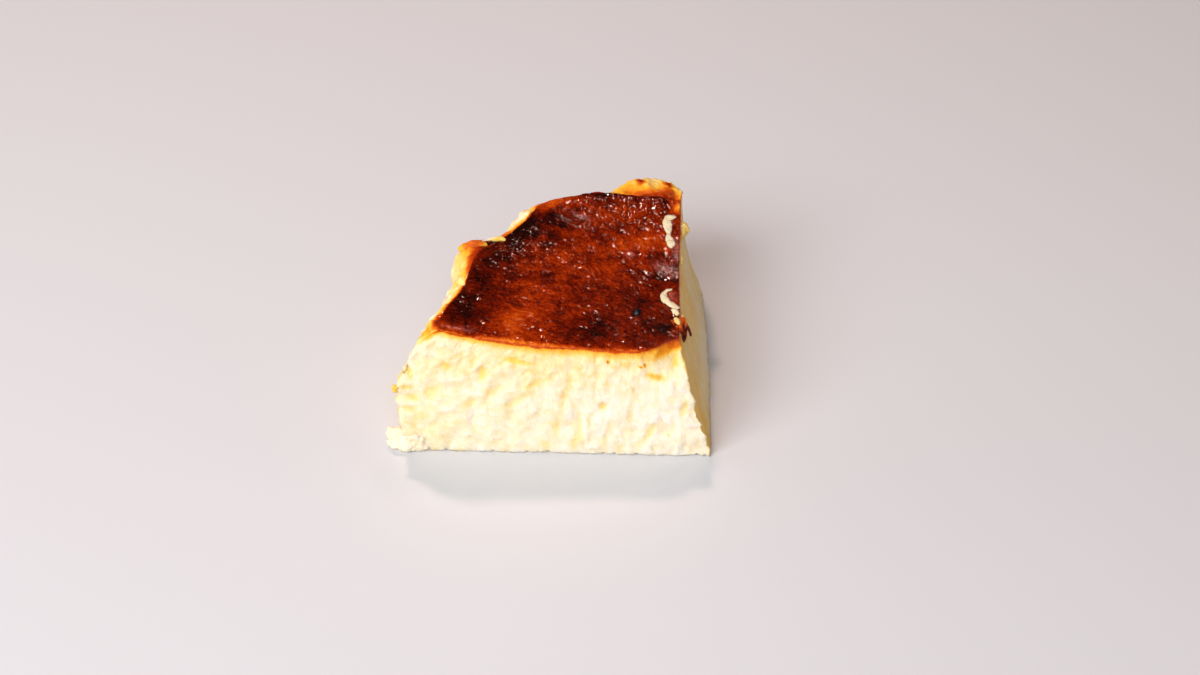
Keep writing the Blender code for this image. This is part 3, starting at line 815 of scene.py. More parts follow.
# %% Start the relief tree
RELIEF_INPUTS = (
    ("Geometry", SHAPE, None), ("Curd Size", NUMBER, 3.0), ("Curd Height", NUMBER, 0.5),
    ("Tear Height", NUMBER, 1.0), ("Drag Height", NUMBER, 0.25), ("Crease Height", NUMBER, 0.5),
    ("Wrinkle Size", NUMBER, 2.0), ("Wrinkle Height", NUMBER, 0.4), ("Seed", NUMBER, 3.0),
    ("Material", "NodeSocketMaterial", None),
)
SEED_SHIFT = 13.7
SWIRL_SIZE, SWIRL_BY = 1 / 0.35, 3.2
relief_tree = new_group("surface_relief", "GeometryNodeTree", RELIEF_INPUTS, (("Geometry", SHAPE, None),))
relief_tree.is_modifier = True
relief = Bench(relief_tree)
fact, given = relief.fact, relief.given
place = relief.node("GeometryNodeInputPosition")
along_cut = relief.node("ShaderNodeSeparateXYZ", {0: place})
up = along_cut.output("Z")
shifted = relief.vector("ADD", place, relief.xyz(0.0, 0.0, given("Seed") * SEED_SHIFT))
swirl = relief.noise(shifted, SWIRL_SIZE, 1.0).output("Color")
swirl = relief.vector("SCALE", relief.vector("SUBTRACT", swirl, (0.5, 0.5, 0.5)), SWIRL_BY)
stirred = relief.vector("ADD", shifted, swirl)


# %% Curds and tears of the front cut, drags of the right cut
TEAR_STRETCH, DRAG_STRETCH = (0.75, 0.6, 0.24), (0.12, 0.42, 0.09)
LEFT_TEAR, RIGHT_TEAR, TEARS_TURN = -58, -6, (-62.0, -36.0)
CLEFT_SOFTNESS, CLEFT_LEVEL = 0.35, 0.42


def lumps(size, height):
    """Rounded lumps with soft clefts between them."""
    cells = relief.cells(stirred, 1.0 / size, "SMOOTH_F1", Smoothness=CLEFT_SOFTNESS)
    return (CLEFT_LEVEL - cells) * (height * 2.0)


def torn(turn):
    """Streaks that the knife tore in the curd, leaning by an angle in the front cut's plane."""
    inputs = {"Vector": stirred, "Angle": math.radians(turn)}
    leaned = relief.node("ShaderNodeVectorRotate", inputs, rotation_type="Y_AXIS")
    return relief.noise(relief.vector("MULTIPLY", leaned, TEAR_STRETCH), 1.0, 3.0, 0.55) - 0.5


size, height = given("Curd Size"), given("Curd Height")
curds = lumps(size, height) + lumps(size * 0.45, height * 0.6)
tears = relief.mix(relief.ramp(along_cut, *TEARS_TURN), torn(LEFT_TEAR), torn(RIGHT_TEAR))
curds = curds + tears * given("Tear Height") - fact("pit")
drags = relief.noise(relief.vector("MULTIPLY", stirred, DRAG_STRETCH)) - 0.5
drags = drags * (given("Drag Height") * 2.0)
print("relief tree so far:", len(relief_tree.nodes), "nodes")

# %% Creases of the parchment and wrinkles of the skin
PAPER_STRETCH = (0.2, 0.2, 0.085)
wall_place = relief.vector("ADD", relief.xyz(fact("round_from_tip"), fact("out_from_tip"), up), swirl)
paper = relief.cells(relief.vector("MULTIPLY", wall_place, PAPER_STRETCH), 1.0, "DISTANCE_TO_EDGE")
creases = relief.ramp(paper, 0.0, 0.22, -1.0, 0.25) * given("Crease Height")
creases = creases + lumps(5.0, 0.4) + lumps(2.2, 0.2) * (fact("gather") - 0.55)
outward = relief.xyz(fact("out_from_tip"), fact("round_from_tip"), given("Seed") * SEED_SHIFT)
turned = relief.vector("ADD", outward, swirl)


def drawn_noise(wide, long, detail):
    """Noise of a width, drawn out along one direction across the skin."""
    drawn = relief.vector("MULTIPLY", turned, (1.0 / (wide * long), 1.0 / wide, 1.0 / wide))
    return relief.noise(relief.vector("SCALE", drawn, 1.0 / given("Wrinkle Size")), 1.0, detail)


swells = (drawn_noise(3.4, 1.3, 1.0) - 0.5) * 4.0
ridges = relief.ramp(drawn_noise(1.15, 1.8, 1.5), 0.46, 0.7, 0.0, 1.6)
fade = relief.ramp(fact("below_rim"), -1.5, 0.0, 1.0, 0.3)
wrinkles = (ridges + swells) * given("Wrinkle Height") * fade * fact("gather")

# %% Sum the four and move the points
height = fact("front") * curds + fact("right") * drags + fact("wall") * creases + fact("skin") * wrinkles
keep = {"Geometry": given("Geometry"), "Name": "relief", "Value": height}
kept = relief.node("GeometryNodeStoreNamedAttribute", keep, data_type="FLOAT", domain="POINT")
arrow = relief.vector("SCALE", relief.node("GeometryNodeInputNormal"), height)
lifted = relief.ramp(up, 0.0, 2.5)
aside = relief.ramp(lifted, 0.0, 0.3)
offset = relief.vector("MULTIPLY", arrow, relief.xyz(aside, aside, lifted))
pushed = relief.node("GeometryNodeSetPosition", {"Geometry": kept, "Offset": offset})
real = relief.node("GeometryNodeRealizeInstances", {"Geometry": pushed})
done = relief.node("GeometryNodeSetMaterial", {"Geometry": real, "Material": given("Material")})
relief.node("NodeGroupOutput", {"Geometry": done})
print("relief tree:", len(relief_tree.nodes), "nodes")

# %% [markdown]
# ## One scale of browning
#
# Everything baked here runs along one scale: cream, straw, gold, caramel, rust, mahogany, char.
# A single colour ramp holds it, and every material asks it for a colour by a number. It could be
# a picture, but a ramp keeps the steps between neighbours right wherever the number changes.


# %% The browning scale as a shader group
def linear(*channels):
    """A screen colour, 0 to 255, as the linear values that a shader needs."""
    values = [c / 255.0 for c in channels]
    return tuple(c / 12.92 if c <= 0.04045 else ((c + 0.055) / 1.055) ** 2.4 for c in values) + (1.0,)


BROWNING = (
    (0.0, (252, 239, 224)), (0.1, (250, 228, 182)), (0.2, (250, 206, 112)), (0.32, (245, 174, 46)),
    (0.44, (224, 118, 22)), (0.56, (188, 72, 7)), (0.68, (152, 42, 1)), (0.8, (102, 18, 0)),
    (0.91, (54, 5, 0)), (1.0, (24, 3, 1)),
)
BAKE_INPUTS, BAKE_OUTPUTS = (("Browning", NUMBER, 0.5),), (("Color", COLOUR, None),)
bake_group = new_group("bake_colour", "ShaderNodeTree", BAKE_INPUTS, BAKE_OUTPUTS)
bench = Bench(bake_group)
scale = bench.node("ShaderNodeValToRGB", {"Fac": bench.given("Browning")})
stops = scale.node.color_ramp.elements
while len(stops) < len(BROWNING):
    stops.new(0.5)
for stop, (position, colour) in zip(stops, BROWNING):
    stop.position, stop.color = position, linear(*colour)
bench.node("NodeGroupOutput", {"Color": scale})
print("browning scale:", len(BROWNING), "steps")

# %% [markdown]
# ## Two grains
#
# Curd is grainy and a little porous at half a millimetre. Baked skin is leathery: tight cells
# between hair-fine valleys. Both are heights in millimetres for a bump, in groups that every
# material here can use.


# %% Grain groups
def grain_group(name, rule):
    """A group whose height follows a rule from a place and a size."""
    inputs = (("Place", ARROW, None), ("Size", NUMBER, 1.0))
    tree = new_group(name, "ShaderNodeTree", inputs, (("Height", NUMBER, None),))
    bench = Bench(tree)
    height = rule(bench, bench.given("Place"), bench.given("Size"))
    bench.node("NodeGroupOutput", {"Height": height})
    return tree


def curd_rule(bench, place, size):
    """Grains with pores between them."""
    cells = bench.cells(place, 1.0 / size, "SMOOTH_F1", Smoothness=0.6)
    return cells * -0.9 + bench.noise(place, size / 0.6, 3.0) * 1.2


def leather_rule(bench, place, size):
    """Bent cells, domed between hair-fine valleys."""
    bend = bench.noise(place, size / 0.7)
    bent = bench.vector("ADD", place, bench.vector("MULTIPLY", bend.output("Color"), (1.1, 1.1, 1.1)))
    return bench.ramp(bench.cells(bent, 1.0 / size, "DISTANCE_TO_EDGE"), 0.0, 0.4) + bend * 0.8


curd_grain = grain_group("curd_grain", curd_rule)
skin_leather = grain_group("skin_leather", leather_rule)
print("groups:", [group.name for group in bpy.data.node_groups])

# %% [markdown]
# ## The cheesecake's own material
#
# One material covers curd, wall and skin, because in the real slice they run into each other:
# the skin fades through caramel and straw into cream within a millimetre. The point's numbers
# choose the browning, noise breaks every border, and gloss follows the skin.

# %% Start and finish a material
CURD_BODY = {
    "IOR": 1.42, "Specular IOR Level": 0.1, "Coat Roughness": 0.04, "Coat IOR": 1.4,
    "Subsurface Weight": 0.4, "Subsurface Radius": (1.0, 0.78, 0.5), "Subsurface Scale": 0.006,
}


def start_look(name):
    """An empty material and its bench."""
    made = bpy.data.materials.new(name)
    made.use_nodes = True
    made.node_tree.nodes.clear()
    return made, Bench(made.node_tree)


def finish_look(look, inputs, height=None):
    """The shader, fed with what is particular to this look. A height in metres makes a bump."""
    if height is not None:
        bump = look.node("ShaderNodeBump", {"Height": height, "Strength": 1.0, "Distance": 1.0})
        inputs = {**inputs, "Normal": bump}
    shader = look.node("ShaderNodeBsdfPrincipled", {**CURD_BODY, **inputs})
    look.node("ShaderNodeOutputMaterial", {"Surface": shader})


# %% Browning of the skin
cheesecake_look, look = start_look("baked_cheesecake")
place = look.millimetres()
fact, ramp, around = look.fact, look.ramp, look.around
mottle = around(place, 7, 0.34, 3) + around(place, 2.4, 0.12)
mottle = mottle + around(place, 1, 0.26, 3) + around(place, 0.5, 0.16)
# painted shade in the valleys of the wrinkles, and a little painted light on their ridges
painted_valley_shade = ramp(fact("relief"), -0.3, 0.25, 0.1, -0.04)
rim_glow = ramp(fact("below_rim") + around(place, 2, 1.6), -2.2, 0.3, 0.0, -0.34) * fact("glow")
ragged = around(place, 1.6, 1.0, 3) + around(place, 0.45, 0.9)
depth = (fact("below_skin") + ragged) * ramp(fact("out_from_tip"), 30.0, 10.0, 1.0, 0.7)
lip = ramp(depth, -2.6, 0.2, 0.0, -0.34) * fact("front_edge")
skin_browning = fact("toast") + mottle + painted_valley_shade + rim_glow + lip

# %% Browning of the cuts and the wall
under_skin = ramp(depth, -0.3, 1.3, 0.4, 0.0) + ramp(depth, 0.4, 3.8, 0.2, 0.0)
# the cuts are darker towards the top, within 12 mm below the skin
darker_towards_top = ramp(fact("below_skin"), 0.0, 12.0, 0.055, 0.0)
near_wall = fact("from_wall") + around(place, 3, 1.6)
crust = ramp(near_wall, 0.0, 2.4, 0.3, 0.0) * ramp(fact("below_skin"), 9.0, 3.0)
# painted shade: the cuts are browner and warmer in the clefts between the curds
painted_cleft_shade = ramp(fact("relief"), -0.4, 0.15, 0.09, 0.0)
cream = around(place, 7, 0.1) + around(place, 1.2, 0.06, 3) + painted_cleft_shade + 0.03
cut_browning = cream + under_skin + darker_towards_top + crust
# the right cut's extra 0.135 of browning is painted shade: the same batter as the front, darker and warmer
# on its shaded face
cut_browning = cut_browning + fact("stain") * 0.55 + fact("right") * 0.135 + fact("cut_painted_light")
fall = fact("below_rim") + around(place, 4, 4.0, 3)
wall_browning = ramp(fall, 0.0, 3.2, 0.24, 0.0) + ramp(fall, 2.0, 14.0, 0.26, 0.1) + fact("wall_toast")
toasted = ramp(look.noise(place, 9, 3.0), 0.5, 0.75, 0.0, 0.14)
# painted shade: the wall is browner in the low creases
painted_crease_shade = ramp(fact("relief"), -0.4, 0.5, 0.06, 0.0)
wall_browning = wall_browning + toasted + painted_crease_shade + around(place, 1.4, 0.06)
cuts = fact("front") + fact("right")
# inside the pocket the browning rises towards black: painted shadow in the hole
browning = fact("skin") * skin_browning + cuts * cut_browning + fact("wall") * wall_browning + fact("shaded_pocket")
print("the three surfaces have their browning")

# %% Colour, gloss and grain
PAINTED_SHEEN_LILAC, PAINTED_BOUNCE_YELLOW = linear(205, 165, 160), linear(250, 214, 92)
GRAIN_METRES, LEATHER_METRES, STROKE_METRES = 0.00011, 0.000015, 0.0001
# painted sheen: pale lilac where the wet film would reflect the light
painted_sheen_share = fact("film_and_sheen") * fact("skin") * ramp(look.noise(place, 0.9, 3.0), 0.3, 0.65)
# painted bounce light: the yellow inside the pits of the front cut
painted_bounce_share = fact("painted_pit_bounce") * ramp(look.noise(place, 1.1), 0.25, 0.6, 0.5, 1.0)
with_painted_sheen = look.mix_colours(painted_sheen_share, look.group(bake_group, Browning=browning), PAINTED_SHEEN_LILAC)
baked = ramp(browning, 0.4, 0.7)
gloss = around(place, 2.2, 0.06) + fact("film_and_sheen") * 0.3 + 0.1

arc, out = fact("round_from_tip"), fact("out_from_tip")
leather = look.group(skin_leather, Place=look.xyz(arc, out * 0.65, 0.0), Size=0.8)
strokes = look.noise(look.xyz(out / 1.6, arc / 0.75, 0.0), 1.0, 1.5)
strokes = ramp(strokes, 0.52, 0.72) * ramp(fact("gather"), 0.2, 1.1, 0.6, 1.0)
grain = look.group(curd_grain, Place=place, Size=0.6) * GRAIN_METRES
height = look.mix(fact("skin"), grain, leather * LEATHER_METRES + strokes * STROKE_METRES)
finish_look(look, {
    "Base Color": look.mix_colours(painted_bounce_share, with_painted_sheen, PAINTED_BOUNCE_YELLOW),
    "Roughness": look.mix(baked, 0.52, gloss) + fact("shaded_pocket") * 0.5,
    "Coat Weight": look.mix(baked, 0.1, 0.45) * ramp(fact("shaded_pocket"), 0.05, 0.5, 1.0, 0.0),
}, height)
print(cheesecake_look.name, "has", len(cheesecake_look.node_tree.nodes), "nodes")

# %% [markdown]
# ## Run the relief
#
# A Geometry Nodes tree runs as a modifier. Its inputs are set by the sockets' own identifiers,
# because names may repeat. The result is then kept as a plain mesh and the modifier goes, so
# that the mesh itself holds what the render sees.


# %% Make it a plain mesh
def keep_as_mesh(piece):
    """Keeps what the modifiers make as the piece's own mesh, and clears them."""
    bpy.context.view_layer.update()
    graph = bpy.context.evaluated_depsgraph_get()
    made = bpy.data.meshes.new_from_object(piece.evaluated_get(graph))
    piece.modifiers.clear()
    old, piece.data = piece.data, made
    bpy.data.meshes.remove(old)
    made.name = piece.name


RELIEF_VALUES = {
    "Curd Size": 2.6, "Curd Height": 0.15, "Tear Height": 0.95, "Drag Height": 0.3, "Crease Height": 0.55,
    "Wrinkle Size": 1.0, "Wrinkle Height": 0.24, "Seed": 3.0, "Material": cheesecake_look,
}
modifier = slice_piece.modifiers.new(relief_tree.name, "NODES")
modifier.node_group = relief_tree
for item in relief_tree.interface.items_tree:
    if item.in_out == "INPUT" and item.name in RELIEF_VALUES:
        modifier[item.identifier] = RELIEF_VALUES[item.name]
keep_as_mesh(slice_piece)
slice_piece.data.transform(INTO_FRAME)
print("slice:", len(slice_piece.data.polygons), "faces")

# %% [markdown]
# ## Soft lumps
#
# Curds, smears and folds are all soft lumps that ran into one another. Each is laid out as a row
# of rough balls, and a voxel remesh melts the row into one closed skin. Sculpting would do as
# well, but a row of named balls can be moved and measured.


# %% Melt a row of balls into one piece
def row_of_balls(row, spacing=0.35, flat=1.0):
    """Balls close together along a row of (x, y, z, radius), flattened in height."""
    row = np.array(row, float)
    run = np.concatenate([[0.0], np.cumsum(np.linalg.norm(np.diff(row[:, :3], axis=0), axis=1))])
    stops = np.append(np.arange(0.0, run[-1], spacing), run[-1])
    x, y, z, radius = (np.interp(stops, run, column) for column in row.T)
    return [((a, b, c), (r, r, r * flat)) for a, b, c, r in zip(x, y, z, radius)]


def from_bmesh(name, mesh):
    """An object made from a bmesh, which is then freed."""
    data = bpy.data.meshes.new(name)
    mesh.to_mesh(data)
    mesh.free()
    return new_object(name, data)


# coarse size, fine size, share of the fine noise, seed
LUMP_NOISE = (1.5, 0.6, 0.5, 31)


def melted_piece(name, balls, look, voxel, soften, ragged, toast=None):
    """Melts (centre, radii) balls into one lump, then roughens it. A rule may toast each point."""
    mesh = bmesh.new()
    for centre, radii in balls:
        for vertex in bmesh.ops.create_icosphere(mesh, subdivisions=3, radius=1.0)["verts"]:
            vertex.co = Vector([c + r * v for c, r, v in zip(centre, radii, vertex.co)])
    piece = from_bmesh(name, mesh)
    remesh = piece.modifiers.new("melt", "REMESH")
    remesh.mode, remesh.voxel_size = "VOXEL", voxel
    piece.modifiers.new("soften", "SMOOTH").iterations = soften
    keep_as_mesh(piece)
    outward = [vertex.normal.copy() for vertex in piece.data.vertices]
    for vertex, normal in zip(piece.data.vertices, outward):
        vertex.co += normal * ragged * two_wobbles(vertex.co, *LUMP_NOISE)
        vertex.co.z = max(vertex.co.z, 0.0)
    if toast:
        store(piece, "toast", toast(np.array([vertex.co for vertex in piece.data.vertices])))
    piece.data.transform(INTO_FRAME)
    piece.data.materials.clear()
    piece.data.materials.append(look)
    piece.data.shade_smooth()
    print(name, len(piece.data.polygons), "faces")
    return piece


# %% Find the slice's surface from outside
slice_points = [vertex.co[:] for vertex in slice_piece.data.vertices]
slice_faces = [face.vertices[:] for face in slice_piece.data.polygons]
slice_tree = BVHTree.FromPolygons(slice_points, slice_faces)


def touch(start, direction):
    """Where a line from outside first meets the finished slice, in mm from the tip's foot."""
    hit = slice_tree.ray_cast((Vector(start) + TIP) * MM, Vector(direction))[0]
    return hit / MM - TIP


def top_at(x, y):
    """The height of the finished skin at a place in plan."""
    return touch((x, y, 80.0), (0.0, 0.0, -1.0)).z


print("skin at the blister:", round(top_at(-22.5, 20.0), 2), "mm high")

# %% [markdown]
# ## Looks of the small pieces
#
# The curds and smears are the same batter as the inside, only wetter. The fold and the shards
# are baked: their browning is a number on each point, so one look serves both.


# %% Batter and baked scraps
def small_look(name, browning, mottle, roughness, coat, bump_depth, tint):
    """A grainy look for a small piece. Its browning is a number, or the name of each point's own."""
    made, look = start_look(name)
    place = look.millimetres()
    plain = look.fact(browning) if isinstance(browning, str) else browning
    colour = look.group(bake_group, Browning=look.around(place, *mottle) + plain)
    grains = look.group(curd_grain, Place=place, Size=0.7)
    finish_look(look, {
        "Base Color": look.mix_colours(1.0, colour, tint, "MULTIPLY"),
        "Roughness": look.around(place, 1.5, 0.16) + roughness,
        "Coat Weight": look.ramp(look.noise(place, 3), 0.3, 0.7, 0.5 * coat, coat),
    }, grains * (bump_depth * MM))
    return made


SMALL_LOOKS = (
    # name, browning, size and amount of its mottle, roughness, coat, bump in mm, tint
    ("loose_curd", 0.06, (2.5, 0.12), 0.5, 0.15, 0.12, (1.0, 1.0, 1.0, 1.0)),
    # the next row's darker tint is partly oil and partly painted shade for crumbs that sit in the right
    # cut's shade
    ("oily_shaded_curd", 0.17, (1.2, 0.16), 0.34, 0.4, 0.06, (0.8, 0.79, 0.7, 1.0)),
    ("wet_cream", "toast", (1.4, 0.14), 0.34, 0.35, 0.04, (0.88, 0.87, 0.8, 1.0)),
    ("baked_scrap", "toast", (1.2, 0.2), 0.3, 0.3, 0.08, (1.0, 1.0, 1.0, 1.0)),
)
loose_curd_look, oily_shaded_curd_look, wet_cream_look, scrap_look = (small_look(*row) for row in SMALL_LOOKS)
print("looks:", [look.name for look in bpy.data.materials])

# %% [markdown]
# ## Curds at the foot and along the edges
#
# Where the knife left the cake, curd was squeezed out at the front left foot, and oily crumbs hang
# on the right cut's upper edge, darker partly from oil and partly from painted shade. They are fused
# to the slice, so each is half sunk in it.

# %% Squeezed-out foot
FOOT_ROWS = (
    # each ball: x, y, z, radius
    ((-93.4, 1.6, 1.6, 1.5), (-91.8, 0.9, 2.2, 2.1), (-89.8, 0.4, 2, 2.1), (-87.6, 0.2, 1.7, 1.9),
     (-85.4, 0.4, 1.5, 1.6), (-83.6, 0.9, 1.2, 1.2)),
    ((-93.2, 4.4, 2.8, 1.9), (-91.6, 3.2, 3.6, 2)),
    ((-88.8, 1.6, 4.2, 2), (-86.8, 1.6, 4.7, 2.1), (-84.4, 1.8, 3.6, 1.8)),
    ((-90.6, 2, 3, 1.6), (-91, 5, 1.8, 2), (-90.8, 7.6, 1.2, 1.4)),
)
foot_balls = [ball for row in FOOT_ROWS for ball in row_of_balls(row, 0.6)]
foot_curds = melted_piece("foot_curds", foot_balls, loose_curd_look, voxel=0.3, soften=5, ragged=0.6)

# %% Crumbs on the right edge
EDGE_ROWS = (
    ((-9.4, 67, 36.8, 0.8), (-8.4, 65.2, 37, 1.5), (-8.1, 63.2, 36.8, 1.7), (-8.6, 61, 36.6, 1.3),
     (-9, 58.6, 36.6, 0.8)),
    ((-9.4, 86, 36.2, 0.9), (-9.6, 84.4, 36.4, 1.5), (-10.6, 82, 36.4, 1.3)),
    ((-9.2, 21.2, 35.4, 0.6), (-8.8, 19.8, 34.8, 0.7)),
    ((-9.3, 50, 36.2, 0.5), (-9.1, 47, 36, 0.6)),
)
edge_balls = [ball for row in EDGE_ROWS for ball in row_of_balls(row, 0.5)]
edge_curds = melted_piece("edge_curds", edge_balls, oily_shaded_curd_look, voxel=0.24, soften=3, ragged=0.5)

# %% [markdown]
# ## Cream smeared on the skin
#
# The knife carried wet curd up and wiped it on the skin near the right cut: a long dab with a
# pinched waist, a curled one, a drop and a lump. Each is a row of flat balls on the skin.

# %% Dabs of cream
DABS = (
    # flatness, then x, y, radius of each ball: the long dab, the curled one, the drop, the lump
    (0.34, ((-11, 65.6, 0.7), (-12.8, 65.2, 1.3), (-13.4, 63.4, 1.4), (-13.2, 61.4, 1.4),
            (-12.9, 59.4, 1.1), (-12.8, 57.8, 0.8), (-13, 56.2, 1.1), (-12.6, 54.4, 1.35),
            (-12.3, 52.6, 1.3), (-12, 51.2, 0.8))),
    (0.36, ((-12.4, 31, 0.4), (-13.6, 30.6, 0.7), (-14.5, 29.4, 1), (-14.7, 27.8, 1.2),
            (-14.2, 26.2, 1.3), (-13, 24.8, 1.2), (-11.8, 23.7, 1), (-10.8, 23, 0.7))),
    (0.7, ((-11.9, 21.9, 0.7), (-11.3, 21.3, 1.05), (-10.8, 20.5, 0.9))),
    (0.85, ((-11.2, 17.9, 0.6), (-10.8, 17, 0.85), (-10.5, 15.9, 0.75), (-10.2, 14.2, 0.5),
            (-10.1, 12.6, 0.45))),
)


DAB_STEP, DAB_UNEVEN, DAB_NOISE_SIZE, DAB_SEED = 0.3, 0.4, 1.9, 21


def dab(flat, row):
    """A flat row of balls that lies on the skin, each a little larger or smaller."""
    balls = row_of_balls([(x, y, top_at(x, y), radius) for x, y, radius in row], DAB_STEP, flat)
    grown = [1.0 + DAB_UNEVEN * wobble(centre, DAB_NOISE_SIZE, DAB_SEED) for centre, radii in balls]
    return [(centre, tuple(grow * r for r in radii)) for grow, (centre, radii) in zip(grown, balls)]


def cream_toast(p):
    """Pale cream, a little more toasted at the lump."""
    return np.interp(p[:, 1], (18.4, 20, 22), (0.17, 0.1, 0.08))


smear_balls = [ball for flat, row in DABS for ball in dab(flat, row)]
cream_smears = melted_piece(
    "cream_smears", smear_balls, wet_cream_look, voxel=0.16, soften=10, ragged=0.24, toast=cream_toast
)

# %% [markdown]
# ## The fold that the parchment left
#
# At the left, a pleat of the paper folded a tongue of batter outwards. It baked orange-brown, and a
# pale film of curd bridges from it to the skin, over a hole darkened with painted shade.

# %% Folded tongue and its pale film
TONGUE = (
    (-75.2, 45.6, 40.3, 0.9), (-73.6, 45.6, 41, 1.6), (-71.6, 45.7, 41.5, 1.9), (-69.7, 45.9, 41.7, 1.7),
    (-68.2, 45.7, 41.9, 1.1),
)
FILM_EDGE = (
    (-70.8, 47.4, 41.3, 0.35), (-69.4, 48, 41.5, 0.4), (-67.8, 48.4, 41.7, 0.45), (-66, 48.8, 41.8, 0.5),
    (-64.4, 48.8, 42, 0.75), (-63.2, 48.2, 42.3, 0.85), (-62.2, 47.6, 42.5, 0.6),
)
FILM_BACK = ((-70.2, 49.2, 39, 1), (-67.6, 50, 39.2, 1), (-64.8, 50.4, 39.6, 1.1))
LEFT_CRUMBS = (
    # y, z, radii, how far the middle stands out of the wall
    (0.9, 22.9, (1.3, 0.9, 0.6), 0.1), (1, 21.7, (1, 0.8, 0.5), 0.1),
)
fold_balls = row_of_balls(TONGUE, 0.4, 0.75) + row_of_balls(FILM_EDGE) + row_of_balls(FILM_BACK, 0.4)
for y, z, radii, out in LEFT_CRUMBS:
    fold_balls.append(((touch((-130.0, y, z), (1.0, 0.0, 0.0)).x - out, y, z), radii))


def fold_toast(p):
    """Orange tongue, pale film, painted shade in the hollow between them, golden crumb."""
    along = np.interp(p[:, 0], (-75, -73.6, -71, -68.6, -67.6), (0.34, 0.46, 0.52, 0.46, 0.25))
    behind = smooth_step((p[:, 1] - 0.25 * (p[:, 0] + 70) - 47) / 0.6)
    film_side = behind * smooth_step((p[:, 0] + 70.6) / 0.8)
    toast = along + (0.13 - along) * film_side
    hollow_shade = smooth_step((41.3 - p[:, 2]) / 0.5) * film_side * (p[:, 0] > -71.5)
    return np.where(p[:, 1] < 10, 0.27, toast + (1.0 - toast) * hollow_shade)


paper_fold = melted_piece(
    "paper_fold", fold_balls, scrap_look, voxel=0.2, soften=4, ragged=0.3, toast=fold_toast
)

# %% [markdown]
# ## Torn shards of skin
#
# At the tip the knife tore the brittle skin. Curled shards hang over the right cut. Each is a
# strip that narrows and bends down as it leaves its root, with a ragged edge and real thickness.

# %% One curled shard
SHARD_STEPS, SHARD_ACROSS = 14, 6
SHARD_THICKNESS = 0.45
SHARD_TAPER, SHARD_RAGGED, SHARD_CUP, SHARD_CRUMPLE = 0.85, 0.35, 0.35, 0.55
# heights in mm and the toast there, then the size, seed and amount of the noise in it
HANG_TOAST, HANG_NOISE, HANG_UNEVEN = ((33, 35.6, 36.9), (0.95, 0.88, 0.6)), (1.4, 71), 0.2
SHARDS = (
    # x, y, length, width, heading, droop in degrees, seed
    (-10.9, 18, 8, 4.6, -64, 96, 61), (-10, 18.8, 6.4, 1.4, -45, 76, 62),
    (-10.8, 14.6, 3.8, 2.2, -55, 88, 63),
)


def shard(mesh, x, y, length, width, heading, droop, seed):
    """One curled strip, as a grid of points in a bmesh."""
    heading, droop = math.radians(heading), math.radians(droop)
    forward = Vector((math.cos(heading), math.sin(heading), 0.0))
    across = Vector((-forward.y, forward.x, 0.0))
    root = Vector((x, y, top_at(x, y) + 0.1))
    rows = []
    for step in range(SHARD_STEPS + 1):
        share = step / SHARD_STEPS
        bend = droop * share
        centre = root + forward * length * math.sin(bend) / droop
        centre.z -= length * (1.0 - math.cos(bend)) / droop
        taper = 1.0 - SHARD_TAPER * share**1.4
        half = width / 2 * taper * (1.0 + SHARD_RAGGED * wobble((share * 6, 0, 0), 1, seed))
        row = []
        for k in range(SHARD_ACROSS + 1):
            side = 2.0 * k / SHARD_ACROSS - 1.0
            crumple = SHARD_CRUMPLE * wobble((share * 5, side * 2.2, 0), 1, seed + 9)
            up = Vector((0.0, 0.0, SHARD_CUP * side * side * width / 3 + crumple))
            row.append(mesh.verts.new(centre + across * half * side + forward * crumple + up))
        rows.append(row)
    for first_row, second_row in zip(rows, rows[1:]):
        for k in range(SHARD_ACROSS):
            mesh.faces.new((first_row[k], first_row[k + 1], second_row[k + 1], second_row[k]))


# %% Curled shards
shard_mesh = bmesh.new()
for values in SHARDS:
    shard(shard_mesh, *values)
bmesh.ops.recalc_face_normals(shard_mesh, faces=shard_mesh.faces)
shard_mesh.transform(INTO_FRAME)
skin_shards = from_bmesh("skin_shards", shard_mesh)
solidify = skin_shards.modifiers.new("thickness", "SOLIDIFY")
solidify.thickness, solidify.offset = SHARD_THICKNESS * MM, 0.0
round_off = skin_shards.modifiers.new("round", "SUBSURF")
round_off.levels = round_off.render_levels = 1
skin_shards.data.materials.append(scrap_look)
skin_shards.data.shade_smooth()
places = np.array([vertex.co for vertex in skin_shards.data.vertices]) / MM
edge_noise = np.array([wobble(place, *HANG_NOISE) for place in places])
hang = np.interp(places[:, 2], *HANG_TOAST)
store(skin_shards, "toast", hang - HANG_UNEVEN * np.clip(edge_noise, 0.0, 1.0) ** 0.7)
print("shards:", len(skin_shards.data.polygons), "faces before thickness")

# %% [markdown]
# ## The burnt blister
#
# One bubble of batter burnt black on the skin. It is a low double dome, under three millimetres
# across, shinier and bluer than the skin round it.

# %% Blister
BLISTER_X, BLISTER_Y = -22.5, 19.6
blister_look, look = start_look("burnt_black")
finish_look(look, {
    "Base Color": linear(15, 15, 22), "Roughness": 0.3, "Coat Weight": 0.3, "Subsurface Weight": 0.0,
})
blister_z = top_at(BLISTER_X, BLISTER_Y)
blister_balls = (
    ((BLISTER_X, BLISTER_Y, blister_z), (1.25, 1.5, 0.85)),
    ((BLISTER_X + 0.3, BLISTER_Y - 0.4, blister_z + 0.3), (0.8, 0.9, 0.6)),
)
burnt_blister = melted_piece(
    "burnt_blister", blister_balls, blister_look, voxel=0.14, soften=2, ragged=0.2
)

# %% [markdown]
# ## Light, floor and camera
#
# The photo looks down on the slice from about 60 centimetres away, in a short telephoto view.
# Soft light comes from the left and front. Two small lamps behind and above catch the wrinkles
# of the skin, and a warm one at the right stands for the light that a room gives back.

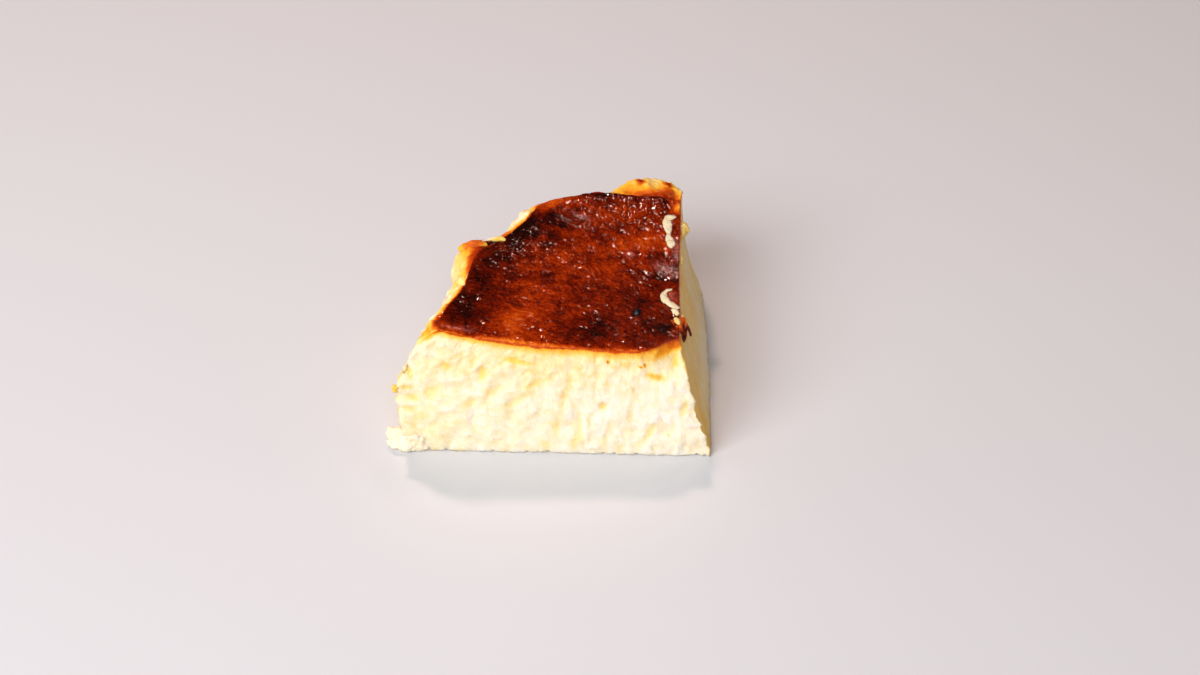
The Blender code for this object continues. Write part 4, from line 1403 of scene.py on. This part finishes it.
# %% Camera
CAMERA_PLACE = Vector((0.01362, -0.48693, 0.386))
CAMERA_PITCH, CAMERA_ROLL = 37.786, 1.2909
camera_data = bpy.data.cameras.new("photo_view")
camera_data.lens, camera_data.sensor_width = 60.0, 36.0
camera_data.clip_start = 0.01
camera = new_object("photo_view", camera_data)
pitched = Matrix.Rotation(math.radians(90.0 - CAMERA_PITCH), 4, "X")
turn = pitched @ Matrix.Rotation(math.radians(CAMERA_ROLL), 4, "Z")
camera.matrix_world = Matrix.Translation(CAMERA_PLACE) @ turn
bpy.context.scene.camera = camera
print("camera looks along", [round(v, 3) for v in -(turn.to_3x3() @ Vector((0, 0, 1)))])

# %% Soft lights
LIGHTS = (
    # name, place, size in metres, watts, colour
    ("window_left", (-0.7, -0.75, 0.8), 0.75, 14.5, (1.0, 0.985, 0.985)),
    ("window_back", (-0.26, 0.56, 1.1), 0.11, 6.2, (1.0, 0.7, 0.58)),
    ("back_right", (0.28, 0.5, 1.1), 0.09, 1.1, (1.0, 0.76, 0.66)),
    ("front_fill", (-0.1, -1.0, 1.0), 0.9, 9.3, (1.0, 0.985, 0.99)),
    ("warm_bounce", (0.9, -0.1, 0.35), 0.6, 0.68, (1.0, 0.75, 0.36)),
)
SLICE_MIDDLE = Vector((0.0, 0.0, 0.02))
ROOM_COLOUR, ROOM_STRENGTH = (0.98, 0.94, 0.88, 1.0), 0.035
for name, spot, size, watts, colour in LIGHTS:
    light = bpy.data.lights.new(name, "AREA")
    light.size, light.energy, light.color = size, watts, colour
    lamp = new_object(name, light)
    lamp.location = spot
    lamp.rotation_euler = (SLICE_MIDDLE - Vector(spot)).to_track_quat("-Z", "Y").to_euler()
world = bpy.data.worlds.new("pale_room")
world.use_nodes = True
background = world.node_tree.nodes["Background"]
background.inputs["Color"].default_value = ROOM_COLOUR
background.inputs["Strength"].default_value = ROOM_STRENGTH
bpy.context.scene.world = world
bpy.context.scene.view_settings.view_transform = "Standard"

# %% Pale floor
FLOOR_HALF = 3.0
PLASTER_COLOUR, PLASTER_ROUGHNESS = (0.6, 0.62, 0.66, 1.0), 0.8
floor_mesh = bmesh.new()
bmesh.ops.create_grid(floor_mesh, x_segments=2, y_segments=2, size=FLOOR_HALF)
floor = from_bmesh("pale_floor", floor_mesh)
floor_look = bpy.data.materials.new("pale_plaster")
floor_look.use_nodes = True
plaster = floor_look.node_tree.nodes["Principled BSDF"]
plaster.inputs["Base Color"].default_value = PLASTER_COLOUR
plaster.inputs["Roughness"].default_value = PLASTER_ROUGHNESS
floor.data.materials.append(floor_look)

# %% Tie the pieces to the frame
for piece in (slice_piece, foot_curds, edge_curds, cream_smears, paper_fold, skin_shards, burnt_blister):
    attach(piece, BODY)
    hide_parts(NODE)
